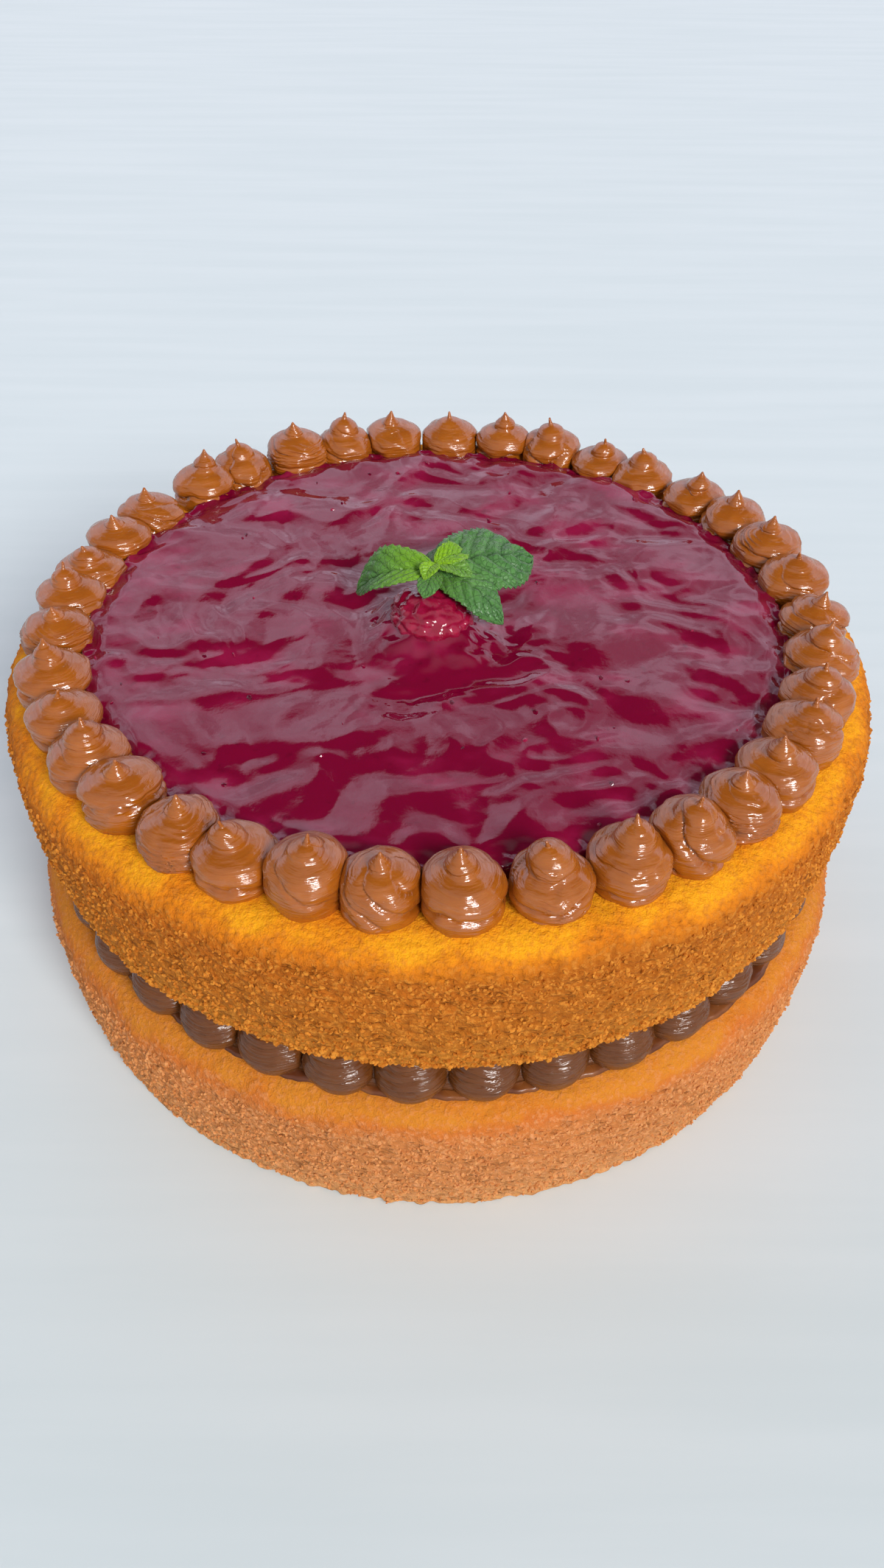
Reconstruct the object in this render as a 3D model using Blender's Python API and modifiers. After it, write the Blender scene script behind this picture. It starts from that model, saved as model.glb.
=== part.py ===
"""Victoria sponge cake with a ring of piped kisses, a jam pool, a berry and a mint sprig.

Two round sponges sandwich a piped filling. On the upper sponge a ring of kisses holds a pool of
jam, and a berry with a mint sprig stands in the middle of the jam. Metres, +Z up, the origin under
the middle of the cake, where it rests. The front of the cake faces -Y.
"""

import math
import random

import bmesh
import bpy
from mathutils import Matrix, Vector

CLEARANCE = 0.0003

# The two sponges. The upper one has slipped a little to the front of the lower one.
LOWER_RADIUS = 0.1225
UPPER_RADIUS = 0.1205
LAYER_SLIP = 0.0038
LOWER_HEIGHT = 0.0460
UPPER_HEIGHT = 0.0434
FILLING_HEIGHT = 0.0180
LOWER_SHOULDER = (0.0100, 0.0120)
UPPER_SHOULDER = (0.0096, 0.0084)
LOWER_TAPER = 0.0045
UPPER_TAPER = 0.0040
BOTTOM_ROUND = 0.0030
ARC_POINTS = 4
TURN_STEPS = 48

# The heights at which the layers meet, and the middles of the sponges.
FILLING_BOTTOM = LOWER_HEIGHT
FILLING_TOP = LOWER_HEIGHT + FILLING_HEIGHT
CAKE_TOP = FILLING_TOP + UPPER_HEIGHT
LOWER_MIDDLE = Vector((0.0, (UPPER_RADIUS + LAYER_SLIP - LOWER_RADIUS) / 2, 0.0))
UPPER_MIDDLE = LOWER_MIDDLE - Vector((0.0, LAYER_SLIP, 0.0))

# Piped kisses: one ring on top and one, pressed flat, at the edge of the filling.
KISS_COUNT = 37
TOP_KISS_SIDES = 10
PRESSED_KISS_SIDES = 8
TOP_RING_START = math.radians(272.9)
TOP_RING_JITTER = math.radians(2.0)
PRESSED_RING_START = math.radians(276.3)
PRESSED_RING_JITTER = math.radians(0.6)
RING_SEED = 38950
TOP_RING_MIDDLE = UPPER_MIDDLE + Vector((-0.0006, 0.0011, 0.0))
TOP_RING_RADIUS = 0.1044
TOP_KISS_REACH = 0.0098
TOP_KISS_HALF_WIDTH = 0.0098
TOP_KISS_HEIGHTS = (0.0135, 0.0175)
FRONT_KISS_EXTRA = 0.0025
TIP_LEAN = 0.0022
# From the base to the tip: the share of the reach, and the share of the height.
TOP_KISS_OUTLINE = (
    (0.00, 0.00), (0.76, 0.00), (1.00, 0.24), (0.90, 0.52), (0.58, 0.72), (0.24, 0.86), (0.00, 1.00),
)
PRESSED_RING_RADIUS = 0.1050
PRESSED_KISS_REACH = 0.0098
PRESSED_KISS_HALF_WIDTH = 0.0096
PRESSED_KISS_MARGIN = 0.0006
PRESSED_OUTLINE = ((0.00, 0.00), (0.88, 0.02), (1.00, 0.30), (0.86, 0.80), (0.00, 1.00))
FILLING_DISC_RADIUS = 0.1060

# The jam pool, and the berry sunk into it.
JAM_RADIUS = 0.0942
JAM_DEPTH = 0.0060
JAM_RIM = 0.0020
BERRY_MIDDLE = Vector((-0.0020, -0.0095, 0.0))
BERRY_RADIUS = 0.0120
BERRY_HEIGHT = 0.0160
BERRY_SUNK = 0.0030
BERRY_SIDES = 16
BERRY_ROWS = 9
DRUPELETS_ROUND = 8
DRUPELET_BULGE = 0.05

# The mint sprig: where its stem stands, and its leaves.
STEM_FOOT = Vector((-0.0010, -0.0035, 0.1268))
STEM_RADIUS = 0.0020
STEM_HEIGHT = 0.0046
LEAF_THICKNESS = 0.0006
LEAF_ROWS = 5
# Each leaf: name, the share of the stem's height at which it grows, its tip seen from the stem's
# foot, half its width, its arch, its fold at the midrib and its roll in degrees.
LEAVES = (
    ("leaf_right", 0.66, (0.0272, 0.0130, -0.0030), 0.0112, 0.0040, -0.08, -6),
    ("leaf_back", 0.22, (0.0070, 0.0215, -0.0040), 0.0060, 0.0020, -0.10, -8),
    ("leaf_left", 0.42, (-0.0216, 0.0046, -0.0085), 0.0068, 0.0045, 0.35, -18),
    ("leaf_front_right", 0.30, (0.0180, -0.0105, -0.0080), 0.0060, 0.0050, -0.15, 10),
    ("leaf_front", 0.50, (-0.0030, -0.0118, 0.0012), 0.0032, 0.0012, -0.15, 0),
    ("leaf_bud", 0.94, (0.0080, 0.0086, 0.0052), 0.0034, 0.0018, 0.40, 0),
)


# ---------------------------------------------------------------- scene, collections, finishes

def clear_scene():
    for old in list(bpy.data.objects):
        bpy.data.objects.remove(old, do_unlink=True)


def new_collection(name):
    collection = bpy.data.collections.new(name)
    bpy.context.scene.collection.children.link(collection)
    return collection


def finish(name, colour, roughness):
    material = bpy.data.materials.new(name)
    material.use_nodes = True
    shader = material.node_tree.nodes["Principled BSDF"]
    shader.inputs["Base Color"].default_value = (*colour, 1.0)
    shader.inputs["Roughness"].default_value = roughness
    shader.inputs["Metallic"].default_value = 0.0
    return material


def add_object(name, mesh, collection, material):
    thing = bpy.data.objects.new(name, mesh)
    mesh.materials.append(material)
    mesh.shade_smooth()
    mesh.set_sharp_from_angle(angle=math.radians(50))
    collection.objects.link(thing)
    return thing


def as_helper(thing):
    """Marks a shape that only cuts or joins others."""
    thing.hide_render = True
    thing.display_type = "WIRE"
    return thing


def boolean(thing, operation, operand):
    step = thing.modifiers.new(operation.lower(), "BOOLEAN")
    step.operation = operation
    step.solver = "EXACT"
    step.object = operand


# ---------------------------------------------------------------- turned shapes

def quarter(middle, radii, start, points):
    """Points clockwise along a quarter of an ellipse, from the angle start, in degrees."""
    turn = [math.radians(start - 90.0 * step / points) for step in range(points + 1)]
    return [(middle[0] + radii[0] * math.cos(a), middle[1] + radii[1] * math.sin(a)) for a in turn]


def turned(name, outline, middle, collection, material):
    """Turns an outline of (radius, height) points, listed from the top down, round the Z axis."""
    mesh = bpy.data.meshes.new(name)
    edges = [(i, i + 1) for i in range(len(outline) - 1)]
    mesh.from_pydata([(radius, 0.0, height) for radius, height in outline], edges, [])
    thing = add_object(name, mesh, collection, material)
    thing.location = middle
    screw = thing.modifiers.new("turn", "SCREW")
    screw.steps = TURN_STEPS
    screw.render_steps = TURN_STEPS
    screw.use_merge_vertices = True
    screw.merge_threshold = 0.00001
    screw.use_smooth_shade = True
    return thing


def sponge(name, middle, bottom, height, radius, shoulder, taper, collection, material):
    """A baked layer: flat top, soft shoulder, a side that tapers down, and a rounded bottom edge."""
    top = bottom + height
    width, drop = shoulder
    foot = radius - taper
    outline = [(0.0, top)]
    outline += quarter((radius - width, top - drop), (width, drop), 90.0, ARC_POINTS)
    outline.append((radius - taper * 0.35, bottom + height * 0.35))
    outline += quarter((foot - BOTTOM_ROUND, bottom + BOTTOM_ROUND), (BOTTOM_ROUND, BOTTOM_ROUND), 0.0, 2)
    outline.append((0.0, bottom))
    return turned(name, outline, middle, collection, material)


# ---------------------------------------------------------------- piped kisses

def ring_angles(start, jitter):
    """The kisses' directions clockwise from the front, with the unevenness of piping by hand."""
    rng = random.Random(RING_SEED)
    pitch = 2.0 * math.pi / KISS_COUNT
    return [start - pitch * i + jitter * rng.uniform(-1.0, 1.0) for i in range(KISS_COUNT)]


def direction(angle):
    return Vector((math.cos(angle), math.sin(angle), 0.0))


def push_inside(point, normal, distance):
    """Moves a point that lies past a plane back onto it; the normal points into the room."""
    depth = point.dot(normal) - distance
    return point if depth >= 0.0 else point - normal * depth


def neighbour_planes(angles, index):
    """The two planes, halfway to each neighbour, that a kiss is squeezed flat against."""
    before = angles[index - 1] if index else angles[-1] + 2.0 * math.pi
    after = angles[index + 1] if index + 1 < KISS_COUNT else angles[0] - 2.0 * math.pi
    high = (angles[index] + before) / 2.0
    low = (angles[index] + after) / 2.0
    upper_normal = Vector((math.sin(high), -math.cos(high), 0.0))
    lower_normal = Vector((-math.sin(low), math.cos(low), 0.0))
    return [(upper_normal, CLEARANCE / 2.0), (lower_normal, CLEARANCE / 2.0)]


def add_kiss(builder, sides, angle, ring_radius, base, size, outline, planes, swirl, lean):
    """Adds one kiss to a bmesh: a ball shaped to the outline, with a fold that winds up to the tip.

    size is (half its length across the ring, half its width along the ring, height), and lean is
    how far the tip leans outwards and sideways.
    """
    rows = len(outline) - 1
    made = bmesh.ops.create_uvsphere(builder, u_segments=sides, v_segments=rows, radius=1.0)
    across = direction(angle)
    along = Vector((-across.y, across.x, 0.0))
    for vert in made["verts"]:
        row = round(math.acos(max(-1.0, min(1.0, -vert.co.z))) / math.pi * rows)
        share, rise = outline[row]
        turn = math.atan2(vert.co.y, vert.co.x)
        fold = 1.0 + 0.09 * math.cos(turn - swirl * rise)
        point = across * (ring_radius + size[0] * share * fold * math.cos(turn) + lean[0] * rise * rise)
        point += along * (size[1] * share * fold * math.sin(turn) + lean[1] * rise * rise)
        for normal, distance in planes:
            point = push_inside(point, normal, distance)
        vert.co = point + Vector((0.0, 0.0, base + size[2] * rise))


def top_kisses(collection, material):
    """The ring of kisses on the upper sponge, each its own solid, clear of the jam and of its fellows."""
    angles = ring_angles(TOP_RING_START, TOP_RING_JITTER)
    rng = random.Random(RING_SEED + 1)
    for index, angle in enumerate(angles):
        name = f"kiss_{index + 1:02d}"
        height = rng.uniform(*TOP_KISS_HEIGHTS) + FRONT_KISS_EXTRA * max(0.0, -math.sin(angle))
        size = (TOP_KISS_REACH, TOP_KISS_HALF_WIDTH, height)
        lean = (rng.uniform(-TIP_LEAN, 0.0), rng.uniform(-TIP_LEAN, TIP_LEAN))
        swirl = rng.uniform(3.0, 6.0)
        planes = neighbour_planes(angles, index)
        planes.append((direction(angle), JAM_RADIUS + 2.0 * CLEARANCE))
        builder = bmesh.new()
        add_kiss(builder, TOP_KISS_SIDES, angle, TOP_RING_RADIUS, CAKE_TOP + CLEARANCE, size,
                 TOP_KISS_OUTLINE, planes, swirl, lean)
        mesh = bpy.data.meshes.new(name)
        builder.to_mesh(mesh)
        builder.free()
        kiss = add_object(name, mesh, collection, material)
        kiss.location = TOP_RING_MIDDLE


def filling(collection, helpers, material):
    """The filling through the cake: a disc joined to the ring of pressed kisses at its edge."""
    bottom = FILLING_BOTTOM + CLEARANCE
    top = FILLING_TOP - CLEARANCE
    disc_outline = [(0.0, top), (FILLING_DISC_RADIUS, top), (FILLING_DISC_RADIUS, bottom), (0.0, bottom)]
    disc = turned("filling", disc_outline, UPPER_MIDDLE, collection, material)
    angles = ring_angles(PRESSED_RING_START, PRESSED_RING_JITTER)
    rng = random.Random(RING_SEED + 2)
    builder = bmesh.new()
    base = bottom + PRESSED_KISS_MARGIN
    for index, angle in enumerate(angles):
        height = top - base - PRESSED_KISS_MARGIN * rng.uniform(1.0, 3.0)
        reach = PRESSED_KISS_REACH * rng.uniform(0.94, 1.04)
        size = (reach, PRESSED_KISS_HALF_WIDTH, height)
        planes = neighbour_planes(angles, index)
        add_kiss(builder, PRESSED_KISS_SIDES, angle, PRESSED_RING_RADIUS, base, size,
                 PRESSED_OUTLINE, planes, rng.uniform(2.0, 5.0), (0.0, 0.0))
    mesh = bpy.data.meshes.new("pressed_kisses")
    builder.to_mesh(mesh)
    builder.free()
    ring = as_helper(add_object("pressed_kisses", mesh, helpers, material))
    ring.location = UPPER_MIDDLE
    boolean(disc, "UNION", ring)


# ---------------------------------------------------------------- jam and berry

def jam_pool(collection, helpers, material):
    """The pool of jam, with a rounded rim, cut round the berry that is sunk in it."""
    bottom = CAKE_TOP + CLEARANCE
    top = bottom + JAM_DEPTH
    outline = [(0.0, top)]
    outline += quarter((JAM_RADIUS - JAM_RIM, top - JAM_RIM), (JAM_RIM, JAM_RIM), 90.0, 2)
    outline += [(JAM_RADIUS, bottom), (0.0, bottom)]
    pool = turned("jam", outline, TOP_RING_MIDDLE, collection, material)
    builder = bmesh.new()
    bmesh.ops.create_cone(
        builder, cap_ends=True, segments=24, radius1=BERRY_RADIUS + 3.0 * CLEARANCE,
        radius2=BERRY_RADIUS + 3.0 * CLEARANCE, depth=2.0 * (BERRY_SUNK + CLEARANCE),
    )
    mesh = bpy.data.meshes.new("berry_hollow")
    builder.to_mesh(mesh)
    builder.free()
    hollow = as_helper(add_object("berry_hollow", mesh, helpers, material))
    hollow.location = BERRY_MIDDLE + Vector((0.0, 0.0, top))
    boolean(pool, "DIFFERENCE", hollow)


def berry(collection, material):
    """The berry: a dome of drupelets in rings, each ring turned half a drupelet from the next."""
    foot = CAKE_TOP + CLEARANCE + JAM_DEPTH - BERRY_SUNK
    builder = bmesh.new()
    bmesh.ops.create_uvsphere(builder, u_segments=BERRY_SIDES, v_segments=BERRY_ROWS, radius=1.0)
    for vert in builder.verts:
        level = (vert.co.z + 1.0) / 2.0
        row = round(math.acos(max(-1.0, min(1.0, vert.co.z))) / math.pi * BERRY_ROWS)
        turn = math.atan2(vert.co.y, vert.co.x)
        bulge = 1.0 - DRUPELET_BULGE + DRUPELET_BULGE * math.cos(DRUPELETS_ROUND * turn + math.pi * row)
        spread = math.hypot(vert.co.x, vert.co.y) ** 0.8 * BERRY_RADIUS * bulge
        vert.co = Vector((spread * math.cos(turn), spread * math.sin(turn), BERRY_HEIGHT * level))
    mesh = bpy.data.meshes.new("berry")
    builder.to_mesh(mesh)
    builder.free()
    fruit = add_object("berry", mesh, collection, material)
    fruit.location = BERRY_MIDDLE + Vector((0.0, 0.0, foot))


# ---------------------------------------------------------------- mint sprig

def leaf(name, share, tip, half_width, arch, fold, roll, helpers, material):
    """One leaf: a pointed blade along its midrib, arched up, folded at the midrib and thickened."""
    tip = Vector(tip)
    start = Vector((0.0, 0.0, STEM_HEIGHT * share))
    ahead = (tip - start).normalized()
    sideways = ahead.cross(Vector((0.0, 0.0, 1.0))).normalized()
    sideways = Matrix.Rotation(math.radians(roll), 3, ahead) @ sideways
    outward = sideways.cross(ahead)
    builder = bmesh.new()
    bmesh.ops.create_grid(builder, x_segments=2, y_segments=LEAF_ROWS, size=1.0)
    for vert in builder.verts:
        side = vert.co.x
        reach = (vert.co.y + 1.0) / 2.0
        blade = half_width * (0.10 + 0.90 * math.sin(math.pi * reach ** 0.85)) * (1.0 - 0.9 * reach ** 6)
        point = start.lerp(tip, reach) + sideways * side * blade
        point += outward * (arch * math.sin(math.pi * reach) + fold * abs(side) * blade)
        vert.co = point
    mesh = bpy.data.meshes.new(name)
    builder.to_mesh(mesh)
    builder.free()
    blade_object = as_helper(add_object(name, mesh, helpers, material))
    blade_object.location = STEM_FOOT
    wall = blade_object.modifiers.new("thickness", "SOLIDIFY")
    wall.thickness = LEAF_THICKNESS
    wall.offset = 0.0
    return blade_object


def mint_sprig(collection, helpers, material):
    """A short stem that all the leaves grow from, joined into one solid."""
    builder = bmesh.new()
    lift = Matrix.Translation((0.0, 0.0, STEM_HEIGHT / 2.0))
    bmesh.ops.create_cone(
        builder, cap_ends=True, segments=12, radius1=STEM_RADIUS, radius2=STEM_RADIUS * 0.8,
        depth=STEM_HEIGHT, matrix=lift,
    )
    mesh = bpy.data.meshes.new("mint_sprig")
    builder.to_mesh(mesh)
    builder.free()
    stem = add_object("mint_sprig", mesh, collection, material)
    stem.location = STEM_FOOT
    for name, share, tip, half_width, arch, fold, roll in LEAVES:
        blade = leaf(name, share, tip, half_width, arch, fold, roll, helpers, material)
        boolean(stem, "UNION", blade)


# ---------------------------------------------------------------- the cake

def build():
    clear_scene()
    cake = new_collection("victoria_sponge_cake")
    joining = new_collection("joining_shapes")
    sponge_finish = finish("sponge_crust", (0.535, 0.190, 0.028), 0.85)
    filling_finish = finish("caramel_filling", (0.190, 0.070, 0.028), 0.40)
    kiss_finish = finish("caramel_kiss", (0.420, 0.130, 0.040), 0.28)
    jam_finish = finish("jam", (0.190, 0.004, 0.018), 0.08)
    berry_finish = finish("berry_flesh", (0.240, 0.006, 0.026), 0.15)
    leaf_finish = finish("mint_leaf", (0.100, 0.220, 0.060), 0.45)
    sponge("sponge_lower", LOWER_MIDDLE, 0.0, LOWER_HEIGHT, LOWER_RADIUS, LOWER_SHOULDER,
           LOWER_TAPER, cake, sponge_finish)
    sponge("sponge_upper", UPPER_MIDDLE, FILLING_TOP, UPPER_HEIGHT, UPPER_RADIUS, UPPER_SHOULDER,
           UPPER_TAPER, cake, sponge_finish)
    filling(cake, joining, filling_finish)
    jam_pool(cake, joining, jam_finish)
    top_kisses(cake, kiss_finish)
    berry(cake, berry_finish)
    mint_sprig(cake, joining, leaf_finish)


build()
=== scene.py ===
import itertools
import math
import random
from collections import namedtuple

import bpy
import numpy as np
from bpy.props import FloatProperty, FloatVectorProperty, IntProperty, PointerProperty
from mathutils import Matrix, Vector


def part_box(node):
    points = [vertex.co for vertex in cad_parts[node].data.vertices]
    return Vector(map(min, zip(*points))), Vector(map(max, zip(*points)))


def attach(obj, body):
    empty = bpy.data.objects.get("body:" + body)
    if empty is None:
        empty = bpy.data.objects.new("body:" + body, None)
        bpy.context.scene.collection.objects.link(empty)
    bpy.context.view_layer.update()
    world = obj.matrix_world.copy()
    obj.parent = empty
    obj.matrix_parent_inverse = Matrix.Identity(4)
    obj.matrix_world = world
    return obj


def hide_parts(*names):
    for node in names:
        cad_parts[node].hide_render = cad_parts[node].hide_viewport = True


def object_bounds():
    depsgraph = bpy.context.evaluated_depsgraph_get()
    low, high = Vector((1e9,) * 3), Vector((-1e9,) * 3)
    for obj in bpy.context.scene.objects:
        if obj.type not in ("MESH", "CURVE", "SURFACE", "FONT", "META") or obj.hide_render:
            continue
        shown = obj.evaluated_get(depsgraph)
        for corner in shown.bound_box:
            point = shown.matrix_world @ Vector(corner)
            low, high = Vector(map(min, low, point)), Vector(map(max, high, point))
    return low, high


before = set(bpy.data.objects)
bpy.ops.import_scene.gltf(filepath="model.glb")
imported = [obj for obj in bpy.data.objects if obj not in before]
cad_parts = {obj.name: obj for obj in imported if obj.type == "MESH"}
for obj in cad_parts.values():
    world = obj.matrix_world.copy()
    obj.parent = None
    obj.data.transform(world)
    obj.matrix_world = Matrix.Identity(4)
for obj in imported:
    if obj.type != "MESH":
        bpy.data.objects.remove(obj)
CAD_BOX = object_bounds()

bl_info = {
    "name": "Victoria Sponge Cake",
    "version": (1, 0, 0),
    "blender": (4, 5, 0),
    "location": "View3D > Sidebar > Cake",
    "description": "Makes a layered sponge cake with piped caramel kisses, a jam pool, a berry and mint",
    "category": "Add Mesh",
}

BODY = "root"
KISSES = sorted(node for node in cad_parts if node.startswith("kiss_"))
FULL_TURN = 2.0 * math.pi


# ------------------------------------------------------------------ node trees

def pick(sockets, key):
    """The socket with that place, identifier or name."""
    if isinstance(key, int):
        return sockets[key]
    for socket in sockets:
        if socket.identifier == key:
            return socket
    return sockets[key]


class Wire:
    """An output socket of a node tree, which sums and products can be written with."""

    def __init__(self, tree, socket):
        self.tree = tree
        self.socket = socket

    def output(self, key):
        return Wire(self.tree, pick(self.socket.node.outputs, key))

    def maths(self, operation, *others):
        return self.tree.add("ShaderNodeMath", {"operation": operation}, dict(enumerate((self, *others))))

    def __add__(self, other):
        return self.maths("ADD", other)

    __radd__ = __add__

    def __sub__(self, other):
        return self.maths("SUBTRACT", other)

    def __rsub__(self, other):
        return self.tree.add("ShaderNodeMath", {"operation": "SUBTRACT"}, {0: other, 1: self})

    def __mul__(self, other):
        return self.maths("MULTIPLY", other)

    __rmul__ = __mul__

    def between(self, low, high):
        """0 below low, 1 above high and smooth in between."""
        sockets = {"Value": self, "From Min": low, "From Max": high}
        return self.tree.add("ShaderNodeMapRange", {"interpolation_type": "SMOOTHSTEP"}, sockets)


class Tree:
    """Builds a node tree. add makes any node from its settings and its sockets' values or wires."""

    def __init__(self, tree):
        self.tree = tree

    def add(self, kind, settings=None, sockets=None, output=0):
        node = self.tree.nodes.new(kind)
        for key, value in (settings or {}).items():
            setattr(node, key, value)
        for key, value in (sockets or {}).items():
            socket = pick(node.inputs, key)
            if isinstance(value, Wire):
                self.tree.links.new(value.socket, socket)
            else:
                socket.default_value = value
        return Wire(self, pick(node.outputs, output)) if node.outputs else None

    def noise(self, place, size, detail=2.0, seed=0.0, roughness=0.5, stretch=None):
        """Noise from 0 to 1 with features of that size, in metres, stretched along the axes."""
        if stretch:
            place = self.add("ShaderNodeVectorMath", {"operation": "MULTIPLY"}, {0: place, 1: stretch})
        sockets = {"Vector": place, "W": seed, "Scale": 1.0 / size, "Detail": detail, "Roughness": roughness}
        return self.add("ShaderNodeTexNoise", {"noise_dimensions": "4D"}, sockets)

    def cells(self, place, size):
        """Distance to the nearest of many scattered points, from 0 to about 1."""
        return self.add("ShaderNodeTexVoronoi", None, {"Vector": place, "Scale": 1.0 / size})

    def mix(self, share, first, second):
        """A colour between two colours."""
        sockets = {"Factor_Float": share, "A_Color": rgba(first), "B_Color": rgba(second)}
        return self.add("ShaderNodeMix", {"data_type": "RGBA"}, sockets, "Result_Color")

    def bump(self, height, distance, strength):
        """A normal tilted by a relief of that height, which is distance high in metres where it is 1."""
        sockets = {"Height": height, "Distance": distance, "Strength": strength}
        return self.add("ShaderNodeBump", None, sockets)


def rgba(colour):
    """A wire as it is, or a colour with full opacity."""
    return colour if isinstance(colour, Wire) else (*colour[:3], 1.0)


def scaled(colour, shares):
    """A colour with its red, green and blue multiplied by shares."""
    return tuple(min(1.0, part * share) for part, share in zip(colour, shares))


def new_finish(name):
    """A material, the builder of its empty node tree, and the place of each point in the tree."""
    material = bpy.data.materials.new(name)
    material.use_nodes = True
    material.node_tree.nodes.clear()
    tree = Tree(material.node_tree)
    return material, tree, tree.add("ShaderNodeTexCoord", None, None, "Object")


def soft_flesh(weight, reach, scale):
    """Sockets for light that goes under a skin: how much, how far in red, green and blue, and its scale."""
    return {"Subsurface Weight": weight, "Subsurface Radius": reach, "Subsurface Scale": scale}


def close_finish(material, tree, sockets):
    """Ends a material with its shader, given the values or wires of that shader's sockets."""
    shader = tree.add("ShaderNodeBsdfPrincipled", None, sockets)
    tree.add("ShaderNodeOutputMaterial", None, {"Surface": shader})
    return material


# ------------------------------------------------------------------ noise and skins in numbers

CORNERS = list(itertools.product((0, 1), repeat=3))
HASH_STEPS = 65536


def scramble(cell, seed):
    """A repeatable whole number below HASH_STEPS for each lattice cell."""
    mixed = cell[:, 0] * 73856093 ^ cell[:, 1] * 19349663 ^ cell[:, 2] * 83492791 ^ (seed + 1) * 40503001
    mixed = (mixed ^ (mixed >> 13)) * 1274126177
    return (mixed ^ (mixed >> 16)) % HASH_STEPS


def ripple(points, size, seed=0):
    """Gradient noise, about -1 to 1, with features of the given size."""
    place = points / size
    cell = np.floor(place).astype(np.int64)
    inside = place - cell
    fade = inside ** 3 * (inside * (inside * 6.0 - 15.0) + 10.0)
    total = np.zeros(len(points))
    for corner in CORNERS:
        code = scramble(cell + corner, seed)
        turn = code * (FULL_TURN / HASH_STEPS)
        lift = (code * 7919 % HASH_STEPS) * (2.0 / HASH_STEPS) - 1.0
        flat = np.sqrt(1.0 - lift * lift)
        away = inside - corner
        slope = away[:, 0] * np.cos(turn) * flat + away[:, 1] * np.sin(turn) * flat + away[:, 2] * lift
        weight = np.prod(np.where(corner, fade, 1.0 - fade), axis=1)
        total += weight * slope
    return total * 1.7


def smooth_step(value, low, high):
    """0 up to low, 1 from high on and smooth in between."""
    share = np.clip((value - low) / (high - low), 0.0, 1.0)
    return share * share * (3.0 - 2.0 * share)


def smooth_max(first, second, blend):
    """The larger of two values, rounded where they are within blend of each other."""
    share = np.clip(0.5 + 0.5 * (first - second) / blend, 0.0, 1.0)
    return second + (first - second) * share + blend * share * (1.0 - share)


def round_turn(count):
    """Angles evenly spaced round a full turn."""
    return np.linspace(0.0, FULL_TURN, count, endpoint=False)


def turned(radius, height, turn):
    """Rings of points with those radii and heights, of the shape (rows, columns, 3)."""
    sides = np.broadcast_arrays(radius * np.cos(turn), radius * np.sin(turn), height)
    return np.stack(sides, -1)


def lathe_faces(rows, columns):
    """Faces of a closed skin: a top pole, rings of points going down and round, and a bottom pole."""
    around = np.arange(columns)
    ahead = (around + 1) % columns
    faces = [np.stack([np.zeros(columns, int), 1 + around, 1 + ahead], 1).tolist()]
    for row in range(rows - 1):
        upper = 1 + row * columns
        lower = upper + columns
        faces.append(np.stack([upper + around, lower + around, lower + ahead, upper + ahead], 1).tolist())
    last = 1 + (rows - 1) * columns
    pole = 1 + rows * columns
    faces.append(np.stack([np.full(columns, pole), last + ahead, last + around], 1).tolist())
    return list(itertools.chain.from_iterable(faces))


def lathe_points(top, rings, bottom):
    """Points in the order that lathe_faces reads; rings has the shape (rows, columns, 3)."""
    return np.concatenate([np.reshape(top, (1, 3)), rings.reshape(-1, 3), np.reshape(bottom, (1, 3))])


def new_mesh(name, points, faces, material):
    """A smooth mesh with one material."""
    mesh = bpy.data.meshes.new(name)
    mesh.from_pydata(np.asarray(points).tolist(), [], faces)
    mesh.validate()
    mesh.materials.append(material)
    mesh.shade_smooth()
    return mesh


def new_piece(name, mesh, replaced=()):
    """Puts a finished mesh in the scene as a piece that rides on the cake."""
    piece = bpy.data.objects.new(name, mesh)
    bpy.context.scene.collection.objects.link(piece)
    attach(piece, BODY)
    if replaced:
        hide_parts(*replaced)
    return piece


def even_outline(outline, step):
    """Points about step apart along a line of (radius, height) points, with its two ends."""
    outline = np.asarray(outline, float)
    lengths = np.r_[0.0, np.cumsum(np.hypot(*np.diff(outline, axis=0).T))]
    count = max(2, int(lengths[-1] / step))
    at = np.linspace(0.0, lengths[-1], count)
    return np.stack([np.interp(at, lengths, outline[:, 0]), np.interp(at, lengths, outline[:, 1])], 1)


def quarter(middle, radii, start, points=24):
    """Points clockwise along a quarter of an ellipse, from the angle start in degrees."""
    turn = np.radians(start - np.linspace(0.0, 90.0, points))
    return [(middle[0] + radii[0] * math.cos(a), middle[1] + radii[1] * math.sin(a)) for a in turn]


def middle_of(*nodes):
    """The middle of the box round some nodes, level with their lowest point."""
    boxes = [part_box(node) for node in nodes]
    low = [min(box[0][axis] for box in boxes) for axis in range(3)]
    high = [max(box[1][axis] for box in boxes) for axis in range(3)]
    return Vector(((low[0] + high[0]) / 2, (low[1] + high[1]) / 2, low[2]))


def radius_of(node):
    """Half the width of a node's box."""
    low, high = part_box(node)
    return (high.x - low.x) / 2


# ------------------------------------------------------------------ sizes and colours to change

def a_length(name, description, default):
    """A length to change, in metres."""
    return FloatProperty(name=name, description=description, default=default, unit="LENGTH")


def a_colour(name, description, default):
    """A colour to change, as red, green and blue."""
    return FloatVectorProperty(name=name, description=description, size=3, default=default, subtype="COLOR")


def an_angle(name, description, degrees):
    """An angle to change."""
    return FloatProperty(name=name, description=description, default=math.radians(degrees),
                         subtype="ANGLE", unit="ROTATION")


def a_shoulder(name, description, default):
    """The width and the drop of a sponge's rounded top edge, in metres."""
    return FloatVectorProperty(name=name, description=description, size=2, default=default,
                               subtype="XYZ_LENGTH", unit="LENGTH")


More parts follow.
